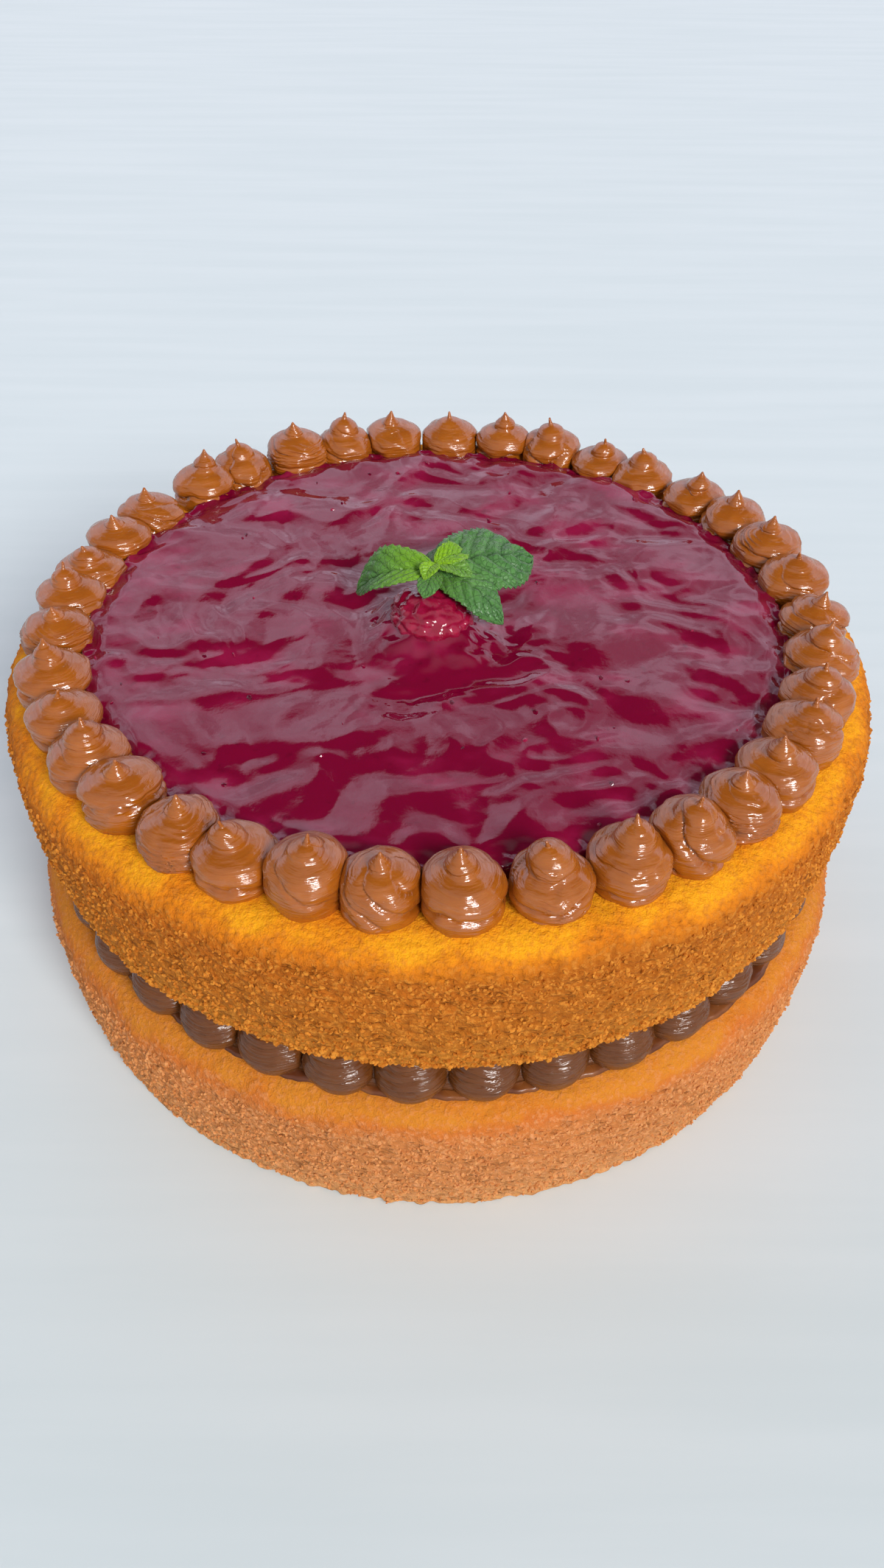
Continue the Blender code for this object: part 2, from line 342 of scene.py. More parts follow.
class SpongeLook(bpy.types.PropertyGroup):
    """The two baked layers and their crumbs."""

    lower_shoulder: a_shoulder(
        "Lower Shoulder", "Width and drop of the lower sponge's rounded top edge", (0.0100, 0.0120))
    upper_shoulder: a_shoulder(
        "Upper Shoulder", "Width and drop of the upper sponge's rounded top edge", (0.0096, 0.0084))
    taper: a_length("Taper", "How much narrower a sponge is at its foot than at its widest", 0.0042)
    roughness: a_length("Crumb Relief", "Height of the crumb relief on the browned sides", 0.00050)
    crumb_size: a_length("Crumb Size", "Radius of a standing crumb", 0.00050)
    crumb_count: IntProperty(name="Crumbs", description="Standing crumbs on each sponge", default=9300)
    fringe_count: IntProperty(
        name="Fringe", description="Crumbs that hang at the foot of the upper sponge", default=1100)
    golden: a_colour("Golden", "The soft golden crumb of the upper sponge's shoulder", (0.93, 0.39, 0.011))
    pale_golden: a_colour(
        "Pale Golden", "The orange crumb of the lower sponge's shoulder", (0.64, 0.222, 0.020))
    browned: a_colour("Browned", "The browned side of the upper sponge", (0.455, 0.142, 0.0145))
    pale_browned: a_colour("Pale Browned", "The paler side of the lower sponge", (0.565, 0.224, 0.074))


class CaramelLook(bpy.types.PropertyGroup):
    """The piped kisses and the filling."""

    kiss_colour: a_colour("Kiss", "Milk caramel of the top kisses", (0.350, 0.091, 0.0060))
    # The filling's colour is darker than the kisses': partly a darker caramel, partly painted shade for the
    # shadowed gap between the sponges.
    filling_colour_and_shade: a_colour("Filling", "Darker caramel between the sponges", (0.132, 0.039, 0.0080))
    reach: a_length("Reach", "Half a kiss's length across the ring", 0.0100)
    half_width: a_length("Half Width", "Half a kiss's width along the ring", 0.0097)
    ring_radius: a_length("Ring Radius", "Radius on which the kisses stand", 0.1042)
    pressed_radius: a_length("Pressed Ring Radius", "Radius on which the pressed kisses stand", 0.1050)
    sunk: a_length("Sunk", "How far a kiss sinks into the sponge", 0.0010)


class JamLook(bpy.types.PropertyGroup):
    """The jam pool and the berry."""

    colour: a_colour("Jam", "Deep crimson of the jam", (0.188, 0.0008, 0.024))
    wave: a_length("Waves", "Height of the broad waves", 0.0021)
    seeds: IntProperty(name="Seeds", description="Seeds and bubbles that show in the jam", default=60)


class MintLook(bpy.types.PropertyGroup):
    """The mint sprig."""

    grown: a_colour("Grown Leaf", "Green of the grown leaves", (0.066, 0.195, 0.048))
    young: a_colour("Young Leaf", "Yellow green of the bud", (0.230, 0.450, 0.003))


class StudioSetup(bpy.types.PropertyGroup):
    """The camera and the lights."""

    camera_place: FloatVectorProperty(
        name="Camera Place", description="Where the camera stands, seen from the upper sponge's middle "
        "on the table", size=3, default=(0.0, -0.29635, 0.31906), subtype="TRANSLATION", unit="LENGTH")
    camera_pitch: an_angle("Pitch", "How far the camera looks down", 42.123)
    camera_yaw: an_angle("Yaw", "How far the camera looks to the right", 0.220)
    camera_roll: an_angle("Roll", "How far the camera leans to the left", 0.425)
    lens: FloatProperty(
        name="Lens", description="Focal length in millimetres on a 36 mm long side", default=29.605)
    key: FloatProperty(name="Key Light", description="Strength of the key light", default=2.70)
    key_width: an_angle("Key Width", "How wide the key light looks from the cake", 20.0)
    key_from: FloatVectorProperty(
        name="Key Direction", description="The way from the cake to the key light", size=3,
        default=(0.42, -0.76, 0.56), subtype="DIRECTION")
    wall: FloatProperty(name="Wall", description="Light from the wall behind", default=1.02)
    front: FloatProperty(name="Front", description="Light from the front of the room", default=0.52)
    air: FloatProperty(name="Room", description="Strength of the light from all round", default=0.05)


# ------------------------------------------------------------------ finishes

def sponge_finish(name, golden, browned, turn_height, foot, speckle_and_shade):
    """Crumb that is golden above turn_height and browned below it, with specks and patches, painted shade in
    its gaps and tears, and lighter grains that are partly painted highlight.
    """
    material, tree, place = new_finish(name)
    height = tree.add("ShaderNodeSeparateXYZ", None, {0: place}, "Z")
    patches = tree.noise(place, 0.012, 4.0, 1.0)
    grains = tree.noise(place, 0.00120, 2.0, 2.0, 0.6)
    fine = tree.noise(place, 0.00040, 2.0, 3.0)
    gaps = tree.cells(place, 0.00155)
    tears = tree.noise(place, 0.0042, 3.0, 5.0, 0.55, (1.0, 1.0, 2.6))
    broad = tree.noise(place, 0.045, 3.0, 4.0)
    crust = turn_height - height + (patches - 0.5) * 0.0085 + (grains - 0.5) * 0.0050
    crust = crust.between(-0.0040, 0.0044)
    toast = (turn_height - height + (patches - 0.5) * 0.010).between(-0.004, 0.0004)
    depth = (turn_height - height + (patches - 0.5) * 0.012).between(0.004, 0.026)
    soft = tree.mix(patches.between(0.38, 0.70), golden, scaled(golden, (0.97, 0.80, 0.8)))
    soft = tree.mix(grains.between(0.42, 0.62) * 0.45, soft, scaled(golden, (0.93, 0.76, 0.8)))
    soft = tree.mix(fine.between(0.48, 0.68) * 0.40, soft, scaled(golden, (1.05, 1.22, 3.4)))
    soft = tree.mix(toast * 0.75, soft, scaled(golden, (0.90, 0.56, 0.9)))
    reddish = scaled(browned, (1.06, 0.88, 0.70))
    toasted = tree.mix(depth, reddish, browned)
    toasted = tree.mix(broad.between(0.42, 0.62) * 0.6, toasted, scaled(browned, (0.88, 0.84, 0.80)))
    worn = 1.0 - (height - foot + (patches - 0.5) * 0.010).between(0.001, 0.016)
    toasted = tree.mix(worn * 0.70, toasted, scaled(browned, (1.10, 1.32, 1.5)))
    colour = tree.mix(crust, soft, toasted)
    fringe = 1.0 - (height - foot + (grains - 0.5) * 0.004).between(0.0005, 0.0038)
    colour = tree.mix(fringe * 0.45, colour, scaled(browned, (1.30, 1.55, 1.6)))
    # Lighter crumb on the raised grains: partly the crumb's own paler tan, partly a painted highlight on
    # their tops.
    pale_grains_and_highlight = grains.between(0.48, 0.66) * (crust * 0.60 * speckle_and_shade + 0.20)
    colour = tree.mix(pale_grains_and_highlight, colour, scaled(browned, (1.48, 1.72, 2.3)))
    # Painted shade: the sunken gaps between the crumb grains are darkened in the colour.
    painted_gap_shade = gaps.between(0.45, 0.85) * (crust * 0.48 * speckle_and_shade + 0.11)
    colour = tree.mix(painted_gap_shade, colour, scaled(browned, (0.62, 0.48, 0.35)))
    # Painted shade: the sunken tears in the crust are darkened in the colour.
    painted_tear_shade = tears.between(0.54, 0.70) * crust * 0.50
    colour = tree.mix(painted_tear_shade, colour, scaled(browned, (0.60, 0.46, 0.30)))
    relief = (grains * 0.80 - gaps * 0.45) * (crust * 0.38 + 0.62)
    relief = relief - tears.between(0.54, 0.74) * crust + fine * 0.42
    normal = tree.bump(relief, 0.00105, 0.85)
    return close_finish(material, tree, {
        "Base Color": colour, "Roughness": 0.90, "Normal": normal, "IOR": 1.35,
        **soft_flesh(0.12, (1.0, 0.45, 0.12), 0.0010),
        "Specular IOR Level": 0.18,
    })


def crumb_finish(name, browned, light):
    """Loose crumbs: from the colour of the crust to a light golden tan."""
    material, tree, place = new_finish(name)
    each = tree.noise(place, 0.0016, 1.0, 7.0)
    fine = tree.noise(place, 0.00035, 1.0, 8.0)
    colour = tree.mix(each.between(0.36, 0.66), scaled(browned, (0.94, 0.88, 0.80)),
                      scaled(browned, light))
    normal = tree.bump(fine, 0.00020, 0.8)
    return close_finish(material, tree, {
        "Base Color": colour, "Roughness": 0.85, "Normal": normal, "IOR": 1.35,
        **soft_flesh(0.15, (1.0, 0.5, 0.15), 0.0006),
        "Specular IOR Level": 0.20,
    })


def caramel_finish(name, colour, roughness, streaks, shine, haze):
    """Smooth milk caramel: small differences in shade, faint streaks left by the nozzle, a wet gloss."""
    material, tree, place = new_finish(name)
    clouds = tree.noise(place, 0.006, 3.0, 1.0)
    lines = tree.noise(place, 0.010, 3.0, 2.0, stretch=(1.0, 1.0, 12.0))
    specks = tree.noise(place, 0.0009, 2.0, 3.0)
    shade = tree.mix(clouds.between(0.35, 0.7), colour, scaled(colour, (1.16, 1.22, 1.22)))
    shade = tree.mix(lines.between(0.45, 0.7) * 0.35, shade, scaled(colour, (0.76, 0.70, 0.66)))
    rough = clouds * 0.14 + lines * 0.10 + (roughness - 0.10)
    normal = tree.bump(lines * streaks + specks * 0.16 + clouds * 0.4, 0.00050, 0.8)
    return close_finish(material, tree, {
        "Base Color": shade, "Roughness": rough, "Normal": normal, "IOR": 1.50, "Specular IOR Level": shine,
        **soft_flesh(0.18, (1.0, 0.38, 0.16), 0.0010),
        "Sheen Weight": haze, "Sheen Roughness": 0.35,
    })


def jam_finish(look):
    """Clear crimson jam with cloudier, pinker pulp in it and a mirror gloss."""
    material, tree, place = new_finish("jam_gloss")
    pulp = tree.noise(place, 0.013, 4.0, 1.0, stretch=(0.7, 1.0, 1.0))
    clots = tree.noise(place, 0.0030, 3.0, 2.0)
    colour = tree.mix(pulp.between(0.48, 0.72) * 0.60, look.colour, scaled(look.colour, (1.80, 12.0, 2.7)))
    colour = tree.mix(clots.between(0.60, 0.80) * 0.5, colour, scaled(look.colour, (0.50, 0.5, 0.50)))
    rough = pulp.between(0.40, 0.75) * 0.09 + 0.03
    normal = tree.bump(clots, 0.00022, 0.35)
    return close_finish(material, tree, {
        "Base Color": colour, "Roughness": rough, "Normal": normal, "IOR": 1.50,
        **soft_flesh(0.10, (1.0, 0.08, 0.12), 0.0020),
    })


def berry_finish(look):
    """Berry flesh under a coat of jam."""
    material, tree, place = new_finish("berry_flesh")
    bloom = tree.noise(place, 0.004, 3.0, 1.0)
    beads = tree.noise(place, 0.0011, 1.0, 2.0)
    colour = tree.mix(bloom.between(0.40, 0.72) * 0.7, scaled(look.colour, (1.45, 2.5, 1.2)),
                      scaled(look.colour, (2.30, 16.0, 2.8)))
    normal = tree.bump(bloom * 0.5 + beads * 0.9, 0.00048, 0.6)
    return close_finish(material, tree, {
        "Base Color": colour, "Roughness": bloom * 0.10 + 0.05, "Normal": normal, "IOR": 1.45,
        **soft_flesh(0.25, (1.0, 0.10, 0.12), 0.0025),
        "Coat Weight": 0.6, "Coat Roughness": 0.03,
    })


def leaf_finish(look):
    """Mint leaf: its age and its veins come with the mesh, as attributes."""
    material, tree, place = new_finish("mint_leaf")
    youth = tree.add("ShaderNodeAttribute", {"attribute_name": "youth"}, None, "Fac")
    vein = tree.add("ShaderNodeAttribute", {"attribute_name": "vein"}, None, "Fac")
    mottle = tree.noise(place, 0.0025, 3.0, 1.0)
    fine = tree.noise(place, 0.0006, 3.0, 2.0)
    green = tree.mix(mottle.between(0.3, 0.7), scaled(look.grown, (0.8, 0.85, 0.8)),
                     scaled(look.grown, (1.40, 1.30, 1.30)))
    colour = tree.mix(youth, green, look.young)
    net = tree.add("ShaderNodeTexVoronoi", {"feature": "DISTANCE_TO_EDGE"},
                   {"Vector": place, "Scale": 1.0 / NET_SIZE})
    fine_veins = 1.0 - net.between(0.015, 0.10)
    dark_vein = tree.mix(youth, scaled(look.grown, (0.26, 0.34, 0.30)), scaled(look.young, (0.62, 0.72, 0.9)))
    colour = tree.mix(vein * 0.85, colour, dark_vein)
    colour = tree.mix(fine_veins * 0.22, colour, dark_vein)
    normal = tree.bump(fine * 0.2 + mottle * 0.6 - fine_veins * 0.5 - vein * 0.5, 0.00034, 0.9)
    return close_finish(material, tree, {
        "Base Color": colour, "Roughness": 0.28 + mottle * 0.2, "Normal": normal, "IOR": 1.42,
        **soft_flesh(0.18, (0.5, 1.0, 0.2), 0.0012),
        "Sheen Weight": 0.12, "Sheen Roughness": 0.4,
    })


# ------------------------------------------------------------------ sponges

# The step between a sponge's rings of points, the points in a ring, and the rings on its flat top and
# bottom as shares of their radius.
OUTLINE_STEP = 0.00058
SPONGE_COLUMNS = 840
CAP_RADII = (0.60, 0.93)
# How far the skin lies inside its node, so that the crumbs keep inside it, and its bottom edge's round.
SPONGE_INSET = 0.00125
BOTTOM_ROUND = 0.0011
# Open pores on a shoulder.
PORES = 24
# How high the fringe at the upper sponge's foot goes, and its crumbs' size and length beside the others.
FRINGE_HEIGHT = 0.0042
FRINGE_GRAIN = 1.15
FRINGE_LENGTH = 1.2
# How much lighter than its crust the lightest crumbs of a sponge are, in red, green and blue.
LOWER_LIGHT = (1.20, 1.32, 1.45)
UPPER_LIGHT = (1.42, 1.68, 2.1)


def sponge_outline(radius, bottom, top, shoulder, taper):
    """The side of a sponge from the edge of its flat top to the edge of its flat bottom."""
    width, drop = shoulder
    foot = radius - taper
    height = top - bottom
    outline = quarter((radius - width, top - drop), (width, drop), 90.0)
    outline.append((radius - taper * 0.35, bottom + height * 0.35))
    outline += quarter((foot - BOTTOM_ROUND, bottom + BOTTOM_ROUND), (BOTTOM_ROUND, BOTTOM_ROUND), 0.0)
    return even_outline(outline, OUTLINE_STEP)


def sponge_skin(node, shoulder, look, seed):
    """The points and faces of a sponge, with its relief: swells, crumb, and pores on its shoulder."""
    low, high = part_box(node)
    middle = np.array(middle_of(node))
    radius = radius_of(node) - SPONGE_INSET
    side = sponge_outline(radius, low.z, high.z, shoulder, look.taper)
    tangent = np.gradient(side, axis=0)
    tangent /= np.linalg.norm(tangent, axis=1)[:, None]
    outwards = np.stack([-tangent[:, 1], tangent[:, 0]], 1)
    caps_top = [(side[0, 0] * share, side[0, 1]) for share in CAP_RADII]
    caps_bottom = [(side[-1, 0] * share, side[-1, 1]) for share in reversed(CAP_RADII)]
    outline = np.concatenate([caps_top, side, caps_bottom])
    flat = len(caps_top)
    normals = np.concatenate([[(0.0, 1.0)] * flat, outwards, [(0.0, -1.0)] * flat])
    turn = round_turn(SPONGE_COLUMNS)
    rings = turned(outline[:, :1], outline[:, 1:], turn) + (middle[0], middle[1], 0.0)
    ways = turned(normals[:, :1], normals[:, 1:], turn).reshape(-1, 3)
    points = rings.reshape(-1, 3)
    crusty = np.repeat(1.0 - smooth_step(outline[:, 1], high.z - shoulder[1], high.z - shoulder[1] * 0.3),
                       SPONGE_COLUMNS)
    relief = 0.00040 * ripple(points, 0.034, seed) + 0.00020 * ripple(points, 0.0085, seed + 1)
    relief += look.roughness * (0.25 + 0.90 * crusty) * ripple(points, 0.0036, seed + 2)
    relief += look.roughness * (0.34 + 0.66 * crusty) * ripple(points, 0.0019, seed + 3)
    relief -= pores(points, middle, radius, high.z, shoulder, seed)
    edge = np.ones(len(outline))
    edge[:flat] = 0.0
    edge[-flat:] = 0.0
    relief *= np.repeat(edge, SPONGE_COLUMNS)
    rings = (points + ways * relief[:, None]).reshape(rings.shape)
    rings[:, :, 2] = np.maximum(rings[:, :, 2], low.z)
    top = (middle[0], middle[1], high.z)
    bottom = (middle[0], middle[1], low.z)
    return lathe_points(top, rings, bottom), lathe_faces(len(outline), SPONGE_COLUMNS)


def pores(points, middle, radius, top, shoulder, seed):
    """The depth of the open pores scattered over the shoulder, at each point."""
    rng = random.Random(seed)
    depth = np.zeros(len(points))
    for _ in range(PORES):
        turn = rng.uniform(0.0, FULL_TURN)
        share = rng.uniform(0.1, 0.95)
        reach = radius - shoulder[0] * (1.0 - math.sin(share * math.pi / 2.0))
        height = top - shoulder[1] * (1.0 - math.cos(share * math.pi / 2.0))
        spot = np.array((middle[0] + reach * math.cos(turn), middle[1] + reach * math.sin(turn), height))
        size = rng.uniform(0.0006, 0.0013)
        away = np.linalg.norm(points - spot, axis=1)
        depth += rng.uniform(0.0004, 0.0008) * np.exp(-(away / size) ** 2)
    return depth


class CAKE_OT_sponges(bpy.types.Operator):
    """Make the two baked sponge layers"""

    bl_idname = "cake.sponges"
    bl_label = "Sponges"

    def execute(self, context):
        look = context.scene.cake_sponge
        # turn: the share of the shoulder's drop at which its golden crumb ends; then how strongly its lighter
        # grains, which are partly painted highlight, and the painted shade in its gaps show.
        for node, shoulder, golden, browned, turn, speckle_and_shade, seed in (
            ("sponge_lower", tuple(look.lower_shoulder), look.pale_golden, look.pale_browned, 0.60, 0.45, 11),
            ("sponge_upper", tuple(look.upper_shoulder), look.golden, look.browned, 0.42, 0.90, 23),
        ):
            low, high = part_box(node)
            finish = sponge_finish(node + "_crumb", tuple(golden), tuple(browned),
                                   high.z - shoulder[1] * turn, low.z, speckle_and_shade)
            points, faces = sponge_skin(node, shoulder, look, seed)
            new_piece(node + "_crust", new_mesh(node + "_crust", points, faces, finish), (node,))
        return {"FINISHED"}


def scatter_tree(name):
    """A node group that scatters small rough grains over a surface and keeps only the grains."""
    group = bpy.data.node_groups.new(name, "GeometryNodeTree")
    group.interface.new_socket(name="Geometry", in_out="OUTPUT", socket_type="NodeSocketGeometry")
    for label, kind, default in (
        ("Surface", "NodeSocketGeometry", None), ("Density", "NodeSocketFloat", 100.0),
        ("Grain Radius", "NodeSocketFloat", 0.0005), ("Flatness", "NodeSocketFloat", 0.7),
        ("Roughness", "NodeSocketFloat", 0.4), ("Lowest", "NodeSocketFloat", 0.0),
        ("Highest", "NodeSocketFloat", 1.0), ("Seed", "NodeSocketInt", 1),
        ("Finish", "NodeSocketMaterial", None),
    ):
        socket = group.interface.new_socket(name=label, in_out="INPUT", socket_type=kind)
        if default is not None:
            socket.default_value = default
    tree = Tree(group)
    given = tree.add("NodeGroupInput")
    place = tree.add("GeometryNodeInputPosition")
    height = tree.add("ShaderNodeSeparateXYZ", None, {0: place}, "Z")
    above = tree.add("FunctionNodeCompare", {"operation": "GREATER_THAN"},
                     {0: height, 1: given.output("Lowest")})
    below = tree.add("FunctionNodeCompare", {"operation": "LESS_THAN"},
                     {0: height, 1: given.output("Highest")})
    chosen = tree.add("FunctionNodeBooleanMath", {"operation": "AND"}, {0: above, 1: below})
    points = tree.add("GeometryNodeDistributePointsOnFaces", None, {
        "Mesh": given.output("Surface"), "Selection": chosen, "Density": given.output("Density"),
        "Seed": given.output("Seed")})
    grain = tree.add("GeometryNodeMeshIcoSphere", None, {"Radius": given.output("Grain Radius"),
                                                         "Subdivisions": 1})
    size = tree.add("FunctionNodeRandomValue", {"data_type": "FLOAT"},
                    {"Min_001": 0.55, "Max_001": 1.45, "Seed": given.output("Seed")}, "Value_001")
    squash = tree.add("ShaderNodeCombineXYZ", None, {0: size, 1: size * 1.25,
                                                     2: size * given.output("Flatness")})
    tumbled = tree.add("FunctionNodeRandomValue", {"data_type": "FLOAT_VECTOR"},
                       {"Min": (0.0,) * 3, "Max": (6.28,) * 3, "Seed": given.output("Seed")})
    grains = tree.add("GeometryNodeInstanceOnPoints", None, {
        "Points": points, "Instance": grain, "Rotation": tumbled, "Scale": squash})
    real = tree.add("GeometryNodeRealizeInstances", None, {0: grains})
    spot = tree.add("GeometryNodeInputPosition")
    shake = tree.add("ShaderNodeTexNoise", None, {"Vector": spot, "Scale": 1400.0, "Detail": 1.0}, "Color")
    shift = tree.add("ShaderNodeVectorMath", {"operation": "SUBTRACT"}, {0: shake, 1: (0.5, 0.5, 0.5)})
    reach = given.output("Grain Radius") * given.output("Roughness") * 4.0
    offset = tree.add("ShaderNodeVectorMath", {"operation": "SCALE"}, {0: shift, "Scale": reach})
    rough = tree.add("GeometryNodeSetPosition", None, {"Geometry": real, "Offset": offset})
    done = tree.add("GeometryNodeSetMaterial", None, {"Geometry": rough, "Material": given.output("Finish")})
    tree.add("NodeGroupOutput", None, {0: done})
    return group


def scatter(name, group, surface, values):
    """Runs the scatter group on a copy of a surface and returns its grains as a plain mesh."""
    carrier = bpy.data.objects.new(name, surface.copy())
    bpy.context.scene.collection.objects.link(carrier)
    step = carrier.modifiers.new("scatter", "NODES")
    step.node_group = group
    for item in group.interface.items_tree:
        if item.in_out == "INPUT" and item.name in values:
            step[item.identifier] = values[item.name]
    graph = bpy.context.evaluated_depsgraph_get()
    mesh = bpy.data.meshes.new_from_object(carrier.evaluated_get(graph))
    carrier.modifiers.remove(step)
    bpy.data.objects.remove(carrier)
    mesh.name = name
    return mesh


class CAKE_OT_crumbs(bpy.types.Operator):
    """Stand loose crumbs on the browned sides of the sponges"""

    bl_idname = "cake.crumbs"
    bl_label = "Crumbs"

    def execute(self, context):
        look = context.scene.cake_sponge
        group = scatter_tree("crumb_scatter")
        # lift: how many crumb radii above the foot the lowest crumbs stand.
        for node, shoulder, colour, light, lift, seed in (
            ("sponge_lower", look.lower_shoulder, look.pale_browned, LOWER_LIGHT, 2.8, 5),
            ("sponge_upper", look.upper_shoulder, look.browned, UPPER_LIGHT, 1.0, 8),
        ):
            crust = bpy.data.objects[node + "_crust"]
            low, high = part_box(node)
            highest = high.z - shoulder[1] * 0.72
            side_area = math.pi * (high.x - low.x) * (highest - low.z)
            mesh = scatter(node + "_crumbs", group, crust.data, {
                "Density": look.crumb_count / side_area, "Grain Radius": look.crumb_size,
                "Lowest": low.z + lift * look.crumb_size, "Highest": highest, "Seed": seed,
                "Finish": crumb_finish(node + "_loose_crumb", tuple(colour), light)})
            new_piece(node + "_crumbs", mesh)
        low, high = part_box("sponge_upper")
        mesh = scatter("sponge_upper_fringe", group, bpy.data.objects["sponge_upper_crust"].data, {
            "Density": look.fringe_count / (math.pi * (high.x - low.x) * FRINGE_HEIGHT),
            "Grain Radius": look.crumb_size * FRINGE_GRAIN, "Flatness": FRINGE_LENGTH,
            "Lowest": low.z + 0.0001, "Highest": low.z + FRINGE_HEIGHT, "Seed": 14,
            "Finish": crumb_finish("sponge_fringe", scaled(look.browned, (1.05, 1.10, 1.1)), UPPER_LIGHT)})
        new_piece("sponge_upper_fringe", mesh)
        return {"FINISHED"}


# ------------------------------------------------------------------ piped kisses

KISS_ROWS = 84
KISS_COLUMNS = 80
# How gradually a kiss flattens where it meets the next one, and the gap that it keeps from the jam.
SQUEEZE = 0.00016
JAM_GAP = 0.0004
# The share of a kiss's height that its body and its ball keep to, below the drawn-up tail.
TAIL_ROOM = 0.86

# How a kiss was piped. wide: where its body is widest; crown: where its body closes; knob: its top
# ball's share of the reach; rise and ball: how high that sits and how tall it is; tip: the share of the
# reach of the drawn-up tail; folds and depth: its coils and how deep the creases between them are;
# helix: 1 where the coils wind on; tilt: how far the folds lean; ribs: fine ridges; lobe: how far it
# bulges towards the jam; outwards and along: how far the tip leans outwards and along the ring.
Piping = namedtuple("Piping", "wide crown knob rise ball tip folds depth helix tilt ribs lobe outwards along")
PIPING = {
    "tail": Piping(0.34, 0.82, 0.44, 0.74, 0.24, 0.17, 2.5, 0.17, 0, 0.08, 0.008, 0.04, 0.02, -0.16),
    "diagonal": Piping(0.40, 0.88, 0.30, 0.82, 0.15, 0.13, 3.0, 0.15, 1, 0.95, 0.012, 0.00, 0.10, -0.05),
    "swirl": Piping(0.42, 0.90, 0.52, 0.80, 0.17, 0.08, 1.7, 0.10, 1, 0.25, 0.006, 0.03, 0.14, 0.05),
    "button": Piping(0.36, 0.76, 0.42, 0.80, 0.19, 0.05, 2.2, 0.16, 0, 0.22, 0.004, 0.05, 0.06, -0.20),
    "ribbed": Piping(0.40, 0.90, 0.34, 0.82, 0.16, 0.15, 5.2, 0.095, 1, 0.35, 0.026, 0.06, 0.00, 0.04),
    "disc": Piping(0.44, 0.88, 0.34, 0.80, 0.17, 0.15, 2.1, 0.15, 0, 0.30, 0.012, 0.08, 0.08, 0.10),
    "cone": Piping(0.32, 0.80, 0.52, 0.72, 0.27, 0.13, 3.3, 0.11, 1, 0.35, 0.012, 0.10, -0.02, 0.10),
    "heap": Piping(0.30, 0.70, 0.60, 0.70, 0.29, 0.07, 4.0, 0.19, 1, 0.85, 0.018, 0.04, 0.06, -0.10),
    "crescent": Piping(0.38, 0.84, 0.50, 0.80, 0.18, 0.08, 1.8, 0.20, 1, 0.75, 0.006, 0.03, 0.14, -0.02),
}
# The kisses clockwise from the front.
RING_ORDER = (
    "tail diagonal swirl button ribbed disc cone swirl tail ribbed button cone disc diagonal tail "
    "crescent ribbed cone disc swirl tail crescent button cone tail disc ribbed swirl diagonal cone "
    "crescent swirl tail ribbed crescent cone heap"
).split()


def rope(phase):
    """The round of a rope's side: 0 in the creases at whole phases, and 1 between them."""
    share = np.abs(2.0 * (phase - np.floor(phase)) - 1.0)
    return np.sqrt(np.clip(1.0 - share ** 3.2, 0.0, 1.0))


def kiss_outline(piping, rows):
    """(share of the reach, share of the height) from the tip down to the foot, evenly spaced."""
    level = np.linspace(1.0, 0.0, 600)
    wide, crown, rise = piping.wide, TAIL_ROOM * piping.crown, TAIL_ROOM * piping.rise
    above = np.sqrt(np.clip(1.0 - np.clip((level - wide) / (crown - wide), 0.0, 1.0) ** 2.3, 0.0, 1.0))
    below = 1.0 - 0.17 * np.clip((wide - level) / wide, 0.0, 1.0) ** 2.6
    body = np.where(level > wide, above, below)
    ball = np.clip(1.0 - ((level - rise) / piping.ball) ** 2, 0.0, 1.0)
    knob = piping.knob * np.sqrt(ball)
    start = rise + 0.5 * piping.ball
    tail = 2.1 * piping.tip * np.clip((1.0 - level) / (1.0 - start), 0.0, 1.0) ** 1.15
    tail = np.where(level > start, tail, 0.0)
    share = smooth_max(smooth_max(body, knob, 0.12), tail, 0.06)
    share = share * np.sqrt(np.clip((1.0 - level) / 0.02, 0.0, 1.0))
    outline = np.stack([share, level], 1)
    lengths = np.r_[0.0, np.cumsum(np.hypot(*np.diff(outline * (1.0, 1.6), axis=0).T))]
    at = np.linspace(0.0, lengths[-1], rows + 1)[1:]
    return np.stack([np.interp(at, lengths, outline[:, 0]), np.interp(at, lengths, outline[:, 1])], 1)


